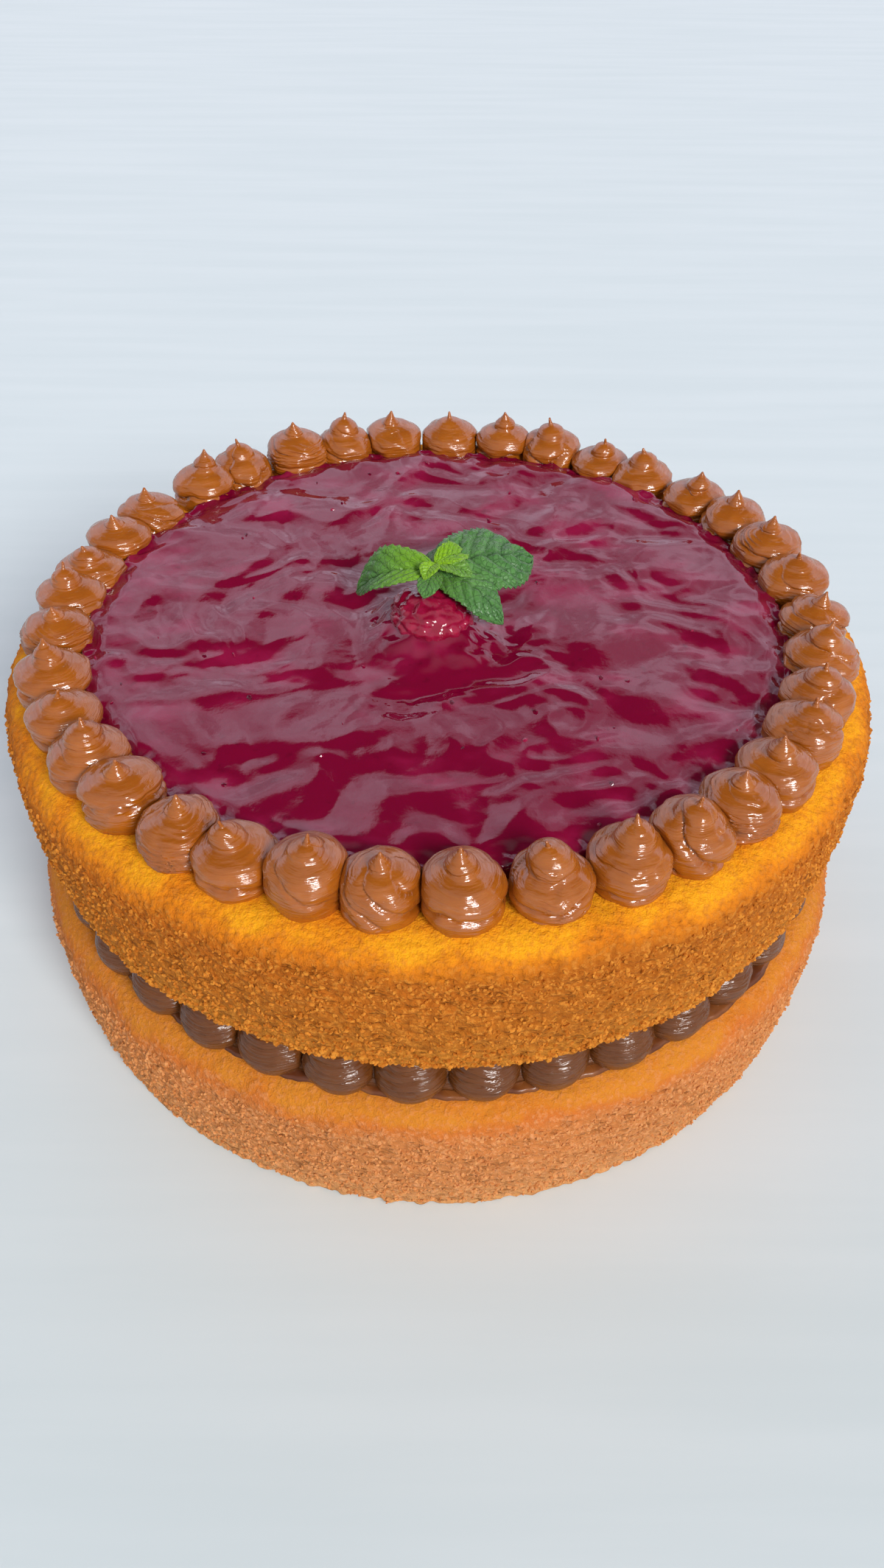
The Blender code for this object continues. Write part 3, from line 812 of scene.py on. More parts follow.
def kiss_form(piping, rows, columns, seed):
    """A kiss of reach 1 and height 1, as rings of points from below the tip to the foot."""
    rng = random.Random(seed)
    outline = kiss_outline(piping, rows)
    turn = round_turn(columns)
    share, level = np.repeat(outline[:, 0], columns), np.repeat(outline[:, 1], columns)
    turns = np.tile(turn, rows)
    facing = rng.uniform(0.0, FULL_TURN)
    spot = np.stack([share * np.cos(turns), share * np.sin(turns), level * 1.8], 1)
    drift = 0.22 * ripple(spot, 0.9, seed) + 0.10 * ripple(spot, 0.42, seed + 1)
    phase = piping.folds * level ** 0.85 + piping.helix * turns / (FULL_TURN) + drift + 0.12
    phase = phase + piping.tilt * np.cos(turns - facing) * share
    fade = smooth_step(level, 0.02, 0.12) * (1.0 - smooth_step(level, 0.86, 0.97))
    crease = (1.0 - rope(phase)) * fade
    uneven = 0.75 + 0.5 * ripple(spot, 0.8, seed + 2)
    swell = 1.0 - 1.90 * piping.depth * crease * uneven
    ridges = np.sin(FULL_TURN * (phase * 4.0 + 0.5 * ripple(spot, 0.5, seed + 3)))
    patch = smooth_step(ripple(spot, 0.9, seed + 4), -0.25, 0.35)
    swell += 2.0 * piping.ribs * ridges * fade * patch
    swell += 0.065 * ripple(spot, 0.75, seed + 5) + 0.026 * ripple(spot, 0.30, seed + 6)
    lobe = np.exp(-((np.abs(turns - math.pi)) / 0.7) ** 2) * (1.0 - smooth_step(level, 0.35, 0.7))
    swell += piping.lobe * lobe
    lean = smooth_step(level, 0.25, 1.0) * level
    x = share * swell * np.cos(turns) + lean * (piping.outwards + rng.uniform(-0.10, 0.10))
    y = share * swell * np.sin(turns) + lean * (piping.along + rng.uniform(-0.10, 0.10))
    curl = smooth_step(level, 0.82, 1.0)
    x += curl * rng.uniform(-0.07, 0.07)
    y += curl * rng.uniform(-0.08, 0.08)
    tip = np.array((x[:columns].mean(), y[:columns].mean(), 1.0))
    return tip, np.stack([x, y, level], 1).reshape(rows, columns, 3)


def held_inside(points, normal, distance):
    """Eases points that near a plane along its normal, so that they stay on its inner side."""
    depth = points @ normal - distance
    eased = 0.5 * (depth + np.sqrt(depth * depth + SQUEEZE * SQUEEZE))
    return points + (eased - depth)[:, None] * normal


def between_planes(angle, before, after):
    """The two upright planes, halfway to the neighbours, that a kiss is squeezed against."""
    high, low = (angle + before) / 2.0, (angle + after) / 2.0
    return [(np.array((math.sin(high), -math.cos(high), 0.0)), 0.0),
            (np.array((-math.sin(low), math.cos(low), 0.0)), 0.0)]


def stand_kiss(tip, rings, angle, radius, size, planes):
    """Puts a kiss form on its place in the ring, seen from the ring's middle; size is in metres."""
    across = np.array((math.cos(angle), math.sin(angle), 0.0))
    along = np.array((-math.sin(angle), math.cos(angle), 0.0))
    points = np.concatenate([tip[None], rings.reshape(-1, 3)])
    placed = (radius + size[0] * points[:, :1]) * across + size[1] * points[:, 1:2] * along
    placed[:, 2] = size[2] * points[:, 2]
    for normal, distance in planes:
        placed = held_inside(placed, normal, distance)
    foot = placed[1:].reshape(rings.shape)[-1].mean(axis=0)
    return placed[0], placed[1:].reshape(rings.shape), foot


def wrapped(angles):
    """Each angle with its two neighbours, going round."""
    count = len(angles)
    for index, angle in enumerate(angles):
        before = angles[index - 1] + (FULL_TURN if index == 0 else 0.0)
        after = angles[(index + 1) % count] - (FULL_TURN if index == count - 1 else 0.0)
        yield index, angle, before, after


class CAKE_OT_kisses(bpy.types.Operator):
    """Pipe the ring of kisses on the upper sponge"""

    bl_idname = "cake.kisses"
    bl_label = "Kisses"

    def execute(self, context):
        look = context.scene.cake_caramel
        finish = caramel_finish("kiss_caramel", tuple(look.kiss_colour), 0.140, 1.3, 0.86, 0.02)
        ring_middle = np.array(middle_of(*KISSES))
        ring_middle[2] -= look.sunk
        shoulder = tuple(context.scene.cake_sponge.upper_shoulder)
        plateau = radius_of("sponge_upper") - shoulder[0]
        angles = []
        for node in KISSES:
            way = np.array(middle_of(node)) - ring_middle
            angle = math.atan2(way[1], way[0])
            while angles and angle > angles[-1]:
                angle -= FULL_TURN
            angles.append(angle)
        for index, angle, before, after in wrapped(angles):
            node = KISSES[index]
            low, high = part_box(node)
            grown = 1.0 + 0.035 * math.sin(2.4 * index + 1.0)
            size = (look.reach * grown, look.half_width * grown, high.z - low.z + look.sunk)
            tip, rings = kiss_form(PIPING[RING_ORDER[index]], KISS_ROWS, KISS_COLUMNS, 100 + 7 * index)
            planes = between_planes(angle, before, after)
            outwards = np.array((math.cos(angle), math.sin(angle), 0.0))
            planes.append((outwards, radius_of("jam") + JAM_GAP))
            tip, rings, foot = stand_kiss(tip, rings, angle, look.ring_radius, size, planes)
            past = np.clip(np.hypot(rings[:, :, 0], rings[:, :, 1]) - plateau, 0.0, shoulder[0])
            drop = shoulder[1] * (1.0 - np.sqrt(1.0 - (past / shoulder[0]) ** 2))
            hug = 1.0 - smooth_step(rings[:, :, 2], 0.0, 0.45 * size[2])
            rings[:, :, 2] -= drop * hug
            points = lathe_points(tip, rings, foot) + ring_middle
            mesh = new_mesh(node + "_piped", points, lathe_faces(KISS_ROWS, KISS_COLUMNS), finish)
            new_piece(node + "_piped", mesh, (node,))
        return {"FINISHED"}


# ------------------------------------------------------------------ filling

# The way from the middle to the first pressed kiss.
PRESSED_START = math.radians(276.3)
PRESSED_ROWS = 66
PRESSED_COLUMNS = 36
# How much closer together a pressed kiss's columns of points are on its outer side, which shows.
PRESSED_CROWDING = 0.45
PRESSED_REACH = 0.0098
PRESSED_HALF_WIDTH = 0.0099
# How far the pressed kisses reach into the sponge below and the sponge above.
PRESSED_BELOW = 0.0004
PRESSED_ABOVE = 0.0002
# The filling behind the pressed kisses: its radius at the top, how much wider it is at its foot, and
# the radius that its relief is a share of.
CORE_RADIUS = 0.1075
CORE_SPREAD = 0.0016
CORE_RELIEF_RADIUS = 0.106
CORE_ROWS = 12
CORE_COLUMNS = 360
# The film that has run out: where it starts, its mean edge, where its ripples are read, its rows of
# points and how far it dips into the sponge.
SEEP_INNER = 0.1040
SEEP_EDGE = 0.1106
SEEP_RIPPLES = 0.109
SEEP_ROWS = 9
SEEP_COLUMNS = 1110
SEEP_DIP = 0.0004


def pressed_form(rows, columns, seed):
    """A kiss squashed from above: a fat round side with fine ridges, cut flat at the top."""
    rng = random.Random(seed)
    level = np.linspace(1.0, 0.0, rows)
    belly = rng.uniform(0.28, 0.40)
    side = 1.0 - np.where(level > belly, 0.62 * ((level - belly) / (1.0 - belly)) ** 1.8,
                          0.20 * ((belly - level) / belly) ** 2.2)
    turn = round_turn(columns)
    turn -= PRESSED_CROWDING * np.sin(turn)
    share, height = np.repeat(side, columns), np.repeat(level, columns)
    turns = np.tile(turn, rows)
    spot = np.stack([share * np.cos(turns), share * np.sin(turns), height * 1.4], 1)
    phase = height * rng.uniform(6.5, 9.0) + 0.5 * ripple(spot, 0.9, seed)
    phase = phase + rng.uniform(-0.6, 0.6) * spot[:, 1]
    fade = smooth_step(height, 0.22, 0.38) * smooth_step(ripple(spot, 1.1, seed + 7), -0.65, -0.15)
    swell = 1.0 - 0.110 * (1.0 - rope(phase)) * fade
    swell -= 0.030 * (0.5 + 0.5 * np.sin(FULL_TURN * phase * 2.0)) * fade
    swell += 0.035 * ripple(spot, 0.8, seed + 1) + 0.012 * ripple(spot, 0.3, seed + 2)
    x = share * swell * np.cos(turns)
    y = share * swell * np.sin(turns)
    return np.array((0.0, 0.0, 1.0)), np.stack([x, y, height], 1).reshape(rows, columns, 3)


def joined(parts):
    """The points and faces of several skins as those of one."""
    faces, start = [], 0
    for points, part_faces in parts:
        faces += [[corner + start for corner in face] for face in part_faces]
        start += len(points)
    return np.concatenate([points for points, _ in parts]), faces


class CAKE_OT_filling(bpy.types.Operator):
    """Make the caramel filling with its ring of pressed kisses, and the jam that seeps from it"""

    bl_idname = "cake.filling"
    bl_label = "Filling"

    def execute(self, context):
        look = context.scene.cake_caramel
        # The filling's base colour is darker partly as painted shade for the gap between the sponges.
        finish = caramel_finish("filling_caramel", tuple(look.filling_colour_and_shade), 0.135, 2.4, 0.46, 0.0)
        low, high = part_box("filling")
        middle = np.array(middle_of("filling"))
        count = len(KISSES)
        pitch = FULL_TURN / count
        angles = [PRESSED_START - pitch * index for index in range(count)]
        parts = []
        pressed_faces = lathe_faces(PRESSED_ROWS, PRESSED_COLUMNS)
        height = high.z - low.z
        for index, angle, before, after in wrapped(angles):
            tip, rings = pressed_form(PRESSED_ROWS, PRESSED_COLUMNS, 900 + 5 * index)
            rng = random.Random(700 + index)
            size = (PRESSED_REACH * rng.uniform(0.96, 1.03), PRESSED_HALF_WIDTH,
                    height + PRESSED_BELOW + PRESSED_ABOVE)
            tip, rings, foot = stand_kiss(tip, rings, angle, look.pressed_radius, size,
                                          between_planes(angle, before, after))
            parts.append((lathe_points(tip, rings, foot) + middle - (0.0, 0.0, PRESSED_BELOW), pressed_faces))
        parts.append(filling_core(middle, height))
        points, faces = joined(parts)
        mesh = new_mesh("filling_caramel", points, faces, finish)
        new_piece("filling_caramel", mesh, ("filling",))
        seep = filling_seep(middle, angles, seep_finish(context.scene.cake_jam))
        new_piece("filling_seep", seep)
        return {"FINISHED"}


def seep_finish(look):
    """Thin jam stained brown by the caramel."""
    material, tree, place = new_finish("jam_seep")
    cloud = tree.noise(place, 0.008, 3.0, 4.0)
    colour = tree.mix(cloud.between(0.38, 0.66), (0.115, 0.028, 0.008), (0.25, 0.078, 0.018))
    normal = tree.bump(cloud, 0.0004, 0.5)
    return close_finish(material, tree, {
        "Base Color": colour, "Roughness": cloud * 0.25 + 0.12, "Normal": normal, "IOR": 1.48})


def filling_seep(middle, angles, finish):
    """The thin film that has run out between the feet of the pressed kisses, as one closed ring."""
    turn = round_turn(SEEP_COLUMNS)
    nearest = np.min(np.abs((turn[:, None] - np.array(angles)[None] + math.pi) % FULL_TURN - math.pi),
                     axis=1) / (math.pi / len(angles))
    flat = np.stack([np.cos(turn), np.sin(turn), 0.0 * turn], 1) * SEEP_RIPPLES
    reach = SEEP_EDGE + 0.0010 * nearest + 0.0013 * ripple(flat, 0.012, 71) + 0.0005 * ripple(flat, 0.003, 72)
    reach += 0.0020 * smooth_step(ripple(flat, 0.050, 73), 0.00, 0.45)
    rise = 0.0010 + 0.0004 * ripple(flat, 0.006, 74)
    share = np.linspace(0.0, 1.0, SEEP_ROWS)
    radius = SEEP_INNER + (reach[None] - SEEP_INNER) * share[:, None]
    level = rise[None] * np.sqrt(np.clip(1.0 - share[:, None] ** 3.0, 0.0, 1.0)) - 0.0003
    top = turned(radius, level, turn)
    under = top[::-1][1:-1].copy()
    under[:, :, 2] = -SEEP_DIP
    rings = np.concatenate([top, under])
    rows = len(rings)
    corners = np.arange(rows * SEEP_COLUMNS).reshape(rows, SEEP_COLUMNS)
    faces = np.stack([corners, np.roll(corners, -1, 0), np.roll(np.roll(corners, -1, 0), -1, 1),
                      np.roll(corners, -1, 1)], 2).reshape(-1, 4).tolist()
    return new_mesh("filling_seep", rings.reshape(-1, 3) + middle, faces, finish)


def filling_core(middle, height):
    """The filling behind the ring of kisses, a disc with an uneven edge."""
    levels = np.linspace(1.0, 0.0, CORE_ROWS)[:, None]
    rings = turned(CORE_RADIUS + CORE_SPREAD * (1.0 - levels) ** 2, levels * height, round_turn(CORE_COLUMNS))
    flat = rings.reshape(-1, 3)
    swell = 0.0007 * ripple(flat, 0.006, 41) + 0.0004 * ripple(flat, 0.0022, 42)
    flat[:, :2] *= (1.0 + swell / CORE_RELIEF_RADIUS)[:, None]
    rings = flat.reshape(rings.shape) + middle
    return lathe_points(middle + (0, 0, height), rings, middle), lathe_faces(CORE_ROWS, CORE_COLUMNS)


# ------------------------------------------------------------------ jam

JAM_ROWS = 150
JAM_COLUMNS = 560
# How far the pool runs in under the kisses, and how far its mean level lies below its node's top.
JAM_UNDER = 0.0026
JAM_LOWERED = 0.0006
# The rim: its width, its rise, the height of its beads; then the width and the drop of its very edge,
# and how far that drop goes on under the kisses.
RIM_WIDTH = 0.0065
RIM_RISE = 0.0007
RIM_BEADS = 0.00105
EDGE_WIDTH = 0.0066
EDGE_DROP = 0.0017
EDGE_PAST = 0.0012
# The skirt of jam drawn up round the berry: where it starts, its width and its height.
SKIRT_START = 0.0098
SKIRT_WIDTH = 0.0140
SKIRT_RISE = 0.0058


class CAKE_OT_jam(bpy.types.Operator):
    """Pour the jam pool, with its waves and seeds"""

    bl_idname = "cake.jam"
    bl_label = "Jam"

    def execute(self, context):
        look = context.scene.cake_jam
        finish = jam_finish(look)
        low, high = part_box("jam")
        middle = np.array(middle_of("jam"))
        radius = radius_of("jam") + JAM_UNDER
        berry = np.array(middle_of("berry"))
        share = np.linspace(0.0, 1.0, JAM_ROWS + 1)[1:] ** 0.85
        rings = turned(radius * share[:, None], 0.0, round_turn(JAM_COLUMNS)) + (middle[0], middle[1], 0.0)
        flat = rings.reshape(-1, 3)
        flat[:, 2] = high.z - JAM_LOWERED + jam_waves(flat, look.wave, berry)
        level = flat * (1.0, 1.0, 0.0)
        away = np.hypot(flat[:, 0] - middle[0], flat[:, 1] - middle[1])
        away += 0.0017 * ripple(level, 0.012, 65) + 0.0009 * ripple(level, 0.0045, 66)
        rim = smooth_step(away, radius - RIM_WIDTH, radius)
        beads = ripple(level, 0.0030, 59)
        edge = smooth_step(away, radius - EDGE_WIDTH, radius - JAM_UNDER + EDGE_PAST)
        flat[:, 2] += rim * (RIM_RISE + RIM_BEADS * beads) - EDGE_DROP * edge
        rings = flat.reshape(rings.shape)
        wall = rings[-1:].copy()
        wall[:, :, 2] = low.z
        rings = np.concatenate([rings, wall])
        top = (middle[0], middle[1], rings[0, :, 2].mean())
        points = lathe_points(top, rings, middle)
        mesh = new_mesh("jam_pool", points, lathe_faces(len(rings), JAM_COLUMNS), finish)
        pool = new_piece("jam_pool", mesh, ("jam",))
        seeds = scatter("jam_seeds", scatter_tree("seed_scatter"), pool.data, {
            "Density": look.seeds / (math.pi * radius ** 2), "Grain Radius": 0.0006, "Flatness": 0.5,
            "Roughness": 0.1, "Lowest": high.z - 0.003, "Highest": high.z + 0.01, "Seed": 3,
            "Finish": seed_finish(look)})
        new_piece("jam_seeds", seeds)
        return {"FINISHED"}


def seed_finish(look):
    """Seeds and small clots, darker or pinker than the jam."""
    material, tree, place = new_finish("jam_seed")
    shade = tree.noise(place, 0.004, 1.0, 5.0)
    colour = tree.mix(shade.between(0.4, 0.6), scaled(look.colour, (0.5, 1.0, 0.6)),
                      scaled(look.colour, (1.6, 9.0, 2.0)))
    return close_finish(material, tree, {"Base Color": colour, "Roughness": 0.08 + shade * 0.05, "IOR": 1.5})


def jam_waves(points, wave, berry):
    """The height of the jam's surface: broad waves, fruit lumps, and the skirt round the berry."""
    spot = points * (0.86, 1.0, 0.0)
    drift = np.stack([ripple(spot, 0.030, 61), ripple(spot, 0.030, 62), 0.0 * spot[:, 0]], 1)
    drawn = spot + 0.007 * drift
    height = wave * 0.22 * ripple(drawn, 0.034, 51)
    height += wave * 0.44 * ripple(drawn, 0.0155, 52)
    ridges = 1.0 - np.abs(ripple(drawn, 0.0125, 57)) * 2.0
    height += wave * 0.22 * ridges * smooth_step(ripple(spot, 0.030, 58), -0.4, 0.3)
    lumps = ripple(drawn, 0.0072, 53)
    height += wave * 0.27 * lumps * (0.35 + 0.65 * smooth_step(ripple(spot, 0.028, 54), -0.2, 0.5))
    height += wave * 0.054 * ripple(drawn, 0.0036, 55) * smooth_step(ripple(spot, 0.018, 56), -0.3, 0.3)
    height += wave * 0.018 * ripple(drawn, 0.0016, 60) * smooth_step(ripple(spot, 0.012, 63), -0.1, 0.4)
    away = points[:, :2] - berry[:2]
    turn = np.arctan2(away[:, 1], away[:, 0])
    uneven = 1.0 + 0.10 * np.sin(2.0 * turn + 1.0) + 0.07 * np.sin(3.0 * turn)
    gone = np.hypot(away[:, 0], away[:, 1]) * uneven
    skirt = np.clip(1.0 - (gone - SKIRT_START) / SKIRT_WIDTH, 0.0, 1.0)
    lumpy = 0.0008 * ripple(points * (1.0, 1.0, 0.0), 0.0044, 64) * smooth_step(skirt, 0.15, 0.6)
    return height * (1.0 - 0.5 * skirt) + SKIRT_RISE * skirt ** 1.8 + lumpy


# ------------------------------------------------------------------ berry

BERRY_ROWS = 110
BERRY_COLUMNS = 140
DRUPELETS = 62
# The angle, seen from the berry's middle, over which a drupelet rounds off into the crease round it.
DRUPELET_ROUND = 0.26


class CAKE_OT_berry(bpy.types.Operator):
    """Make the jam-coated berry from its drupelets"""

    bl_idname = "cake.berry"
    bl_label = "Berry"

    def execute(self, context):
        low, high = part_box("berry")
        middle = np.array(middle_of("berry"))
        radius = radius_of("berry")
        height = high.z - low.z
        polar = np.linspace(0.0, math.pi, BERRY_ROWS + 2)[1:-1, None]
        ways = turned(np.sin(polar), np.cos(polar), round_turn(BERRY_COLUMNS))
        flat = ways.reshape(-1, 3)
        rng = random.Random(17)
        golden_angle = math.pi * (3.0 - math.sqrt(5.0))
        nearest = np.full(len(flat), -1.0)
        second = np.full(len(flat), -1.0)
        for index in range(DRUPELETS):
            z = 1.0 - 1.75 * (index + 0.5) / DRUPELETS + rng.uniform(-0.03, 0.03)
            ring = math.sqrt(max(0.0, 1.0 - z * z))
            angle = index * golden_angle + rng.uniform(-0.12, 0.12)
            near = flat @ np.array((ring * math.cos(angle), ring * math.sin(angle), z))
            second = np.maximum(second, np.minimum(near, nearest))
            nearest = np.maximum(nearest, near)
        border = smooth_step(np.arccos(np.clip(second, -1, 1)) - np.arccos(np.clip(nearest, -1, 1)),
                             0.0, DRUPELET_ROUND)
        jammed = smooth_step(ripple(flat, 0.9, 5), -0.45, 0.30)
        swell = 1.0 - (0.050 - 0.040 * jammed) * (1.0 - border) ** 1.2
        swell += (0.050 * ripple(flat, 0.8, 6) + 0.056 * ripple(flat, 0.26, 7)
                  + 0.010 * ripple(flat, 0.10, 8))
        reach = np.array((radius, radius, height * 0.52)) * 0.97
        placed = flat * swell[:, None] * reach
        placed[:, 2] += height * 0.47
        rings = placed.reshape(ways.shape) + middle
        top = rings[0].mean(axis=0)
        bottom = rings[-1].mean(axis=0)
        finish = berry_finish(context.scene.cake_jam)
        mesh = new_mesh("berry_drupelets", lathe_points(top, rings, bottom),
                        lathe_faces(BERRY_ROWS, BERRY_COLUMNS), finish)
        new_piece("berry_drupelets", mesh, ("berry",))
        return {"FINISHED"}


# ------------------------------------------------------------------ mint

LEAF_ROWS = 72
LEAF_COLUMNS = 44
LEAF_WALL = 0.00032
# The length of a tooth along a leaf's edge, the pairs of side veins, and the size of the net between them.
TOOTH_LENGTH = 0.0019
VEIN_PAIRS = 6.4
NET_SIZE = 1.0 / 620.0
# Where the sprig's stem stands, seen from the top of the berry, and its height.
STEM_ON_BERRY = Vector((0.0010, 0.0060, 0.0001))
STEM_HEIGHT = 0.0046
# Each leaf: the share of the stem's height at which it grows, its tip seen from the stem's foot, half
# its width, its arch, its fold at the midrib, its roll in degrees and its youth at root and at tip.
LEAVES = {
    "mint_leaf_right": (0.60, (0.0268, 0.0140, -0.0030), 0.0120, 0.0032, -0.10, 17, 0.10, 0.00),
    "mint_leaf_back": (0.22, (0.0070, 0.0215, -0.0040), 0.0065, 0.0020, -0.10, -8, 0.10, 0.00),
    "mint_leaf_left": (0.42, (-0.0216, 0.0046, -0.0085), 0.0074, 0.0045, 0.42, -20, 0.72, 0.04),
    "mint_leaf_front_right": (0.30, (0.0180, -0.0105, -0.0080), 0.0064, 0.0050, -0.15, 10, 0.25, 0.00),
    "mint_leaf_front": (0.50, (-0.0030, -0.0118, 0.0012), 0.0034, 0.0012, -0.15, 0, 0.35, 0.10),
    "mint_leaf_bud": (0.94, (0.0086, 0.0060, 0.0034), 0.0040, 0.0014, 0.40, 14, 1.00, 0.70),
    "mint_leaf_bud_front": (0.90, (-0.0030, -0.0058, 0.0030), 0.0028, 0.0010, 0.30, 0, 1.00, 0.85),
    "mint_leaf_bud_right": (0.88, (0.0098, -0.0030, 0.0020), 0.0036, 0.0016, 0.25, 10, 0.80, 0.35),
}


def leaf_mesh(name, leaf, stem_foot, material):
    """One leaf: toothed blade, veined and quilted, arched and folded, as an open sheet."""
    share, tip, half_width, arch, fold, roll, youth_root, youth_tip = leaf
    start = Vector((0.0, 0.0, STEM_HEIGHT * share))
    tip = Vector(tip)
    ahead = (tip - start).normalized()
    sideways = Matrix.Rotation(math.radians(roll), 3, ahead) @ ahead.cross(Vector((0, 0, 1))).normalized()
    outward = np.array(sideways.cross(ahead))
    length = (tip - start).length
    along, side = np.meshgrid(np.linspace(0.0, 1.0, LEAF_ROWS), np.linspace(-1.0, 1.0, LEAF_COLUMNS),
                              indexing="ij")
    along, side = along.ravel(), side.ravel()
    blade = 0.10 + 0.90 * np.sin(math.pi * along ** 0.98) ** 0.55
    blade *= np.sqrt(np.clip(1.0 - along ** 9, 0.0, 1.0))
    teeth = along * (length / TOOTH_LENGTH)
    tooth = teeth - np.floor(teeth)
    blade = half_width * blade * (1.0 - 0.10 * tooth * smooth_step(along, 0.08, 0.25))
    veins = along * VEIN_PAIRS - 1.9 * np.abs(side) ** 1.3
    near_vein = np.abs(veins - np.round(veins)) * 2.0
    ribs = np.exp(-(near_vein / 0.12) ** 2) * smooth_step(np.abs(side), 0.02, 0.12)
    midrib = np.exp(-(np.abs(side) / 0.045) ** 2)
    cross_veins = np.abs(np.sin(veins * math.pi) * np.sin(side * 9.0 + veins * 2.0))
    quilt = np.clip(near_vein, 0.0, 1.0) ** 0.6 * (0.75 + 0.25 * cross_veins)
    relief = half_width * (0.125 * quilt - 0.07 * midrib) * smooth_step(1.0 - np.abs(side), 0.0, 0.2)
    lift = arch * np.sin(math.pi * along) + fold * np.abs(side) * blade + relief
    wave = 0.03 * half_width * np.sin(along * 14.0 + np.sign(side)) * np.abs(side) ** 2
    points = np.array(start) + along[:, None] * np.array(tip - start)
    points += (side * blade)[:, None] * np.array(sideways) + (lift + wave)[:, None] * outward
    points += np.array(stem_foot)
    faces = []
    for row in range(LEAF_ROWS - 1):
        for column in range(LEAF_COLUMNS - 1):
            corner = row * LEAF_COLUMNS + column
            faces.append((corner, corner + 1, corner + LEAF_COLUMNS + 1, corner + LEAF_COLUMNS))
    mesh = new_mesh(name, points, faces, material)
    for label, values in (("youth", youth_root + (youth_tip - youth_root) * smooth_step(along, 0.0, 0.8)),
                          ("vein", np.clip(ribs * 0.8 + midrib, 0.0, 1.0))):
        layer = mesh.attributes.new(label, "FLOAT", "POINT")
        layer.data.foreach_set("value", values.astype(np.float32))
    return mesh


class CAKE_OT_mint(bpy.types.Operator):
    """Grow the mint sprig's leaves"""

    bl_idname = "cake.mint"
    bl_label = "Mint"

    def execute(self, context):
        material = leaf_finish(context.scene.cake_mint)
        stem_foot = middle_of("berry") + STEM_ON_BERRY
        stem_foot.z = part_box("berry")[1].z + STEM_ON_BERRY.z
        for name, leaf in LEAVES.items():
            mesh = leaf_mesh(name, leaf, stem_foot, material)
            sheet = bpy.data.objects.new(name, mesh)
            bpy.context.scene.collection.objects.link(sheet)
            wall = sheet.modifiers.new("wall", "SOLIDIFY")
            wall.thickness = LEAF_WALL
            wall.offset = 0.0
            graph = bpy.context.evaluated_depsgraph_get()
            solid = bpy.data.meshes.new_from_object(sheet.evaluated_get(graph))
            bpy.data.objects.remove(sheet)
            new_piece(name, solid, ("mint_sprig",))
        return {"FINISHED"}


# ------------------------------------------------------------------ stage

BACKDROP = (0.70, 0.77, 0.82)
KEY_COLOUR = (1.0, 0.98, 0.96)
TABLE_REACH = 4.0
TABLE_GAP = 0.0002
CLIP_START = 0.01


def key_light(setup):
    """The key light: far away, from the front, a little to the right and well above the cake."""
    lamp = bpy.data.lights.new("key", "SUN")
    lamp.energy = setup.key
    lamp.angle = setup.key_width
    lamp.color = KEY_COLOUR
    light = bpy.data.objects.new("key", lamp)
    light.rotation_euler = (-Vector(setup.key_from)).to_track_quat("-Z", "Y").to_euler()
    bpy.context.scene.collection.objects.link(light)


def soft_room(setup):
    """A soft room: a bright wall behind the cake, a dimmer ceiling above it and light from the front."""
    world = bpy.data.worlds.new("room")
    world.use_nodes = True
    world.node_tree.nodes.clear()
    tree = Tree(world.node_tree)
    way = tree.add("ShaderNodeTexCoord", None, None, "Generated")
    split = tree.add("ShaderNodeSeparateXYZ", None, {0: way})
    sideways, ahead, upward = split, split.output("Y"), split.output("Z")
    aside = (sideways - 0.03).maths("ABSOLUTE").between(0.04, 0.17)
    top_edge = upward - aside * 0.10
    cloud = tree.noise(way, 0.16, 3.0, 3.0)
    wall = (1.0 - (top_edge + cloud * 0.10).between(0.63, 0.74)) * ahead.between(0.0, 0.35)
    wall = wall * upward.between(-0.02, 0.06)
    front = 1.0 - ahead.between(-0.30, 0.30)
    light = wall * (cloud.between(0.30, 0.70) * 0.9 + (setup.wall - 0.45)) + front * setup.front + setup.air
    tint = tree.mix(wall, (0.92, 0.96, 1.0), (0.97, 0.93, 1.12))
    room = tree.add("ShaderNodeBackground", None, {"Color": tint, "Strength": light})
    backdrop = tree.add("ShaderNodeBackground", None, {"Color": rgba(BACKDROP)})
    seen = tree.add("ShaderNodeLightPath", None, None, "Is Camera Ray")
    shade = tree.add("ShaderNodeMixShader", None, {0: seen, 1: room, 2: backdrop})
    tree.add("ShaderNodeOutputWorld", None, {"Surface": shade})
    return world


def pale_table():
    """The plain pale table top under the cake."""
    finish, tree, place = new_finish("table_top")
    grain = tree.noise(place, 0.05, 4.0, 1.0, stretch=(0.25, 3.0, 1.0))
    colour = tree.mix(grain.between(0.3, 0.7), (0.695, 0.785, 0.805), (0.73, 0.815, 0.835))
    close_finish(finish, tree, {"Base Color": colour, "Roughness": 0.55})
    corners = [(x * TABLE_REACH, y * TABLE_REACH, 0) for x, y in ((-1, -1), (1, -1), (1, 1), (-1, 1))]
    table = bpy.data.objects.new("table", new_mesh("table", corners, [(0, 1, 2, 3)], finish))
    table.location.z = CAD_BOX[0].z - TABLE_GAP
    bpy.context.scene.collection.objects.link(table)
    return table


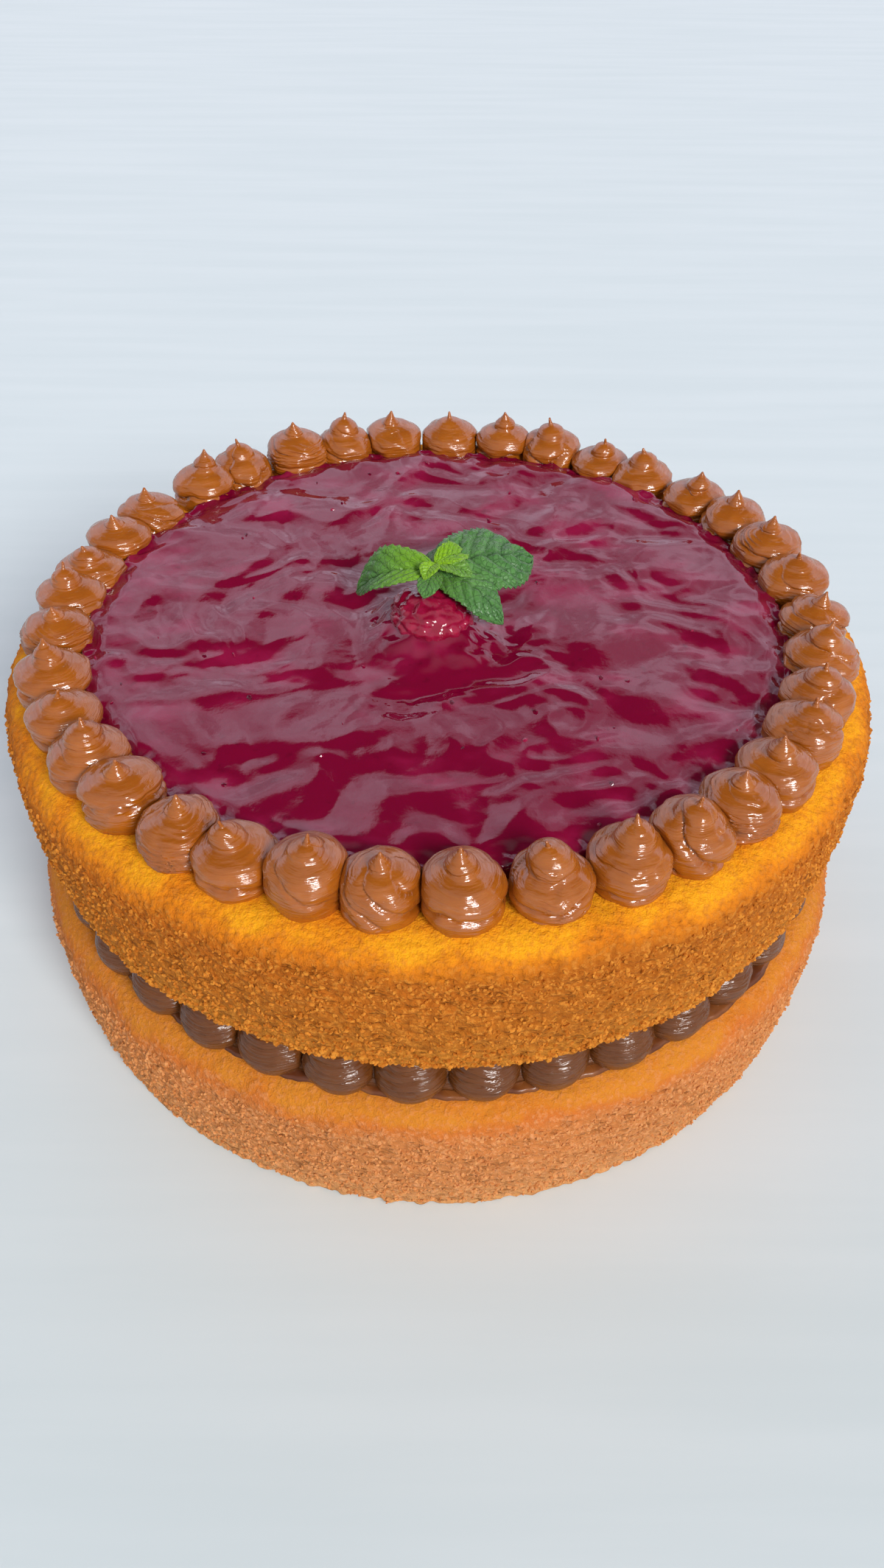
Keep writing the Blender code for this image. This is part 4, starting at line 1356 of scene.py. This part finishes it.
def front_camera(setup):
    """The camera in front of the cake, which looks down on it."""
    middle = middle_of("sponge_upper")
    middle.z = 0.0
    camera = bpy.data.cameras.new("camera")
    camera.lens = setup.lens
    camera.sensor_width = 36.0
    camera.clip_start = CLIP_START
    view = bpy.data.objects.new("camera", camera)
    turn = Matrix.Rotation(-setup.camera_yaw, 4, "Z") @ Matrix.Rotation(
        math.pi / 2.0 - setup.camera_pitch, 4, "X") @ Matrix.Rotation(setup.camera_roll, 4, "Z")
    view.matrix_world = Matrix.Translation(middle + Vector(setup.camera_place)) @ turn
    bpy.context.scene.collection.objects.link(view)
    return view


class CAKE_OT_stage(bpy.types.Operator):
    """Set up the floor, the lights, the room and the camera"""

    bl_idname = "cake.stage"
    bl_label = "Stage"

    def execute(self, context):
        setup = context.scene.cake_studio
        scene = context.scene
        scene.view_settings.view_transform = "Standard"
        table = pale_table()
        scene.camera = front_camera(setup)
        key_light(setup)
        scene.world = soft_room(setup)
        return {"FINISHED"}


# ------------------------------------------------------------------ panel and registration

OPERATORS = (CAKE_OT_stage, CAKE_OT_sponges, CAKE_OT_crumbs, CAKE_OT_filling, CAKE_OT_kisses, CAKE_OT_jam,
             CAKE_OT_berry, CAKE_OT_mint)


class CAKE_PT_panel(bpy.types.Panel):
    """Sidebar panel that lists the steps of the cake"""

    bl_label = "Sponge Cake"
    bl_idname = "CAKE_PT_panel"
    bl_space_type = "VIEW_3D"
    bl_region_type = "UI"
    bl_category = "Cake"

    def draw(self, context):
        for operator in OPERATORS:
            self.layout.operator(operator.bl_idname)


LOOKS = {"cake_sponge": SpongeLook, "cake_caramel": CaramelLook, "cake_jam": JamLook,
         "cake_mint": MintLook, "cake_studio": StudioSetup}


def register():
    for made in (*LOOKS.values(), *OPERATORS, CAKE_PT_panel):
        bpy.utils.register_class(made)
    for name, look in LOOKS.items():
        setattr(bpy.types.Scene, name, PointerProperty(type=look))


def unregister():
    for name in LOOKS:
        delattr(bpy.types.Scene, name)
    for made in reversed((*LOOKS.values(), *OPERATORS, CAKE_PT_panel)):
        bpy.utils.unregister_class(made)


def main():
    register()
    for operator in OPERATORS:
        group, name = operator.bl_idname.split(".")
        getattr(getattr(bpy.ops, group), name)()


if __name__ == "__main__":
    main()
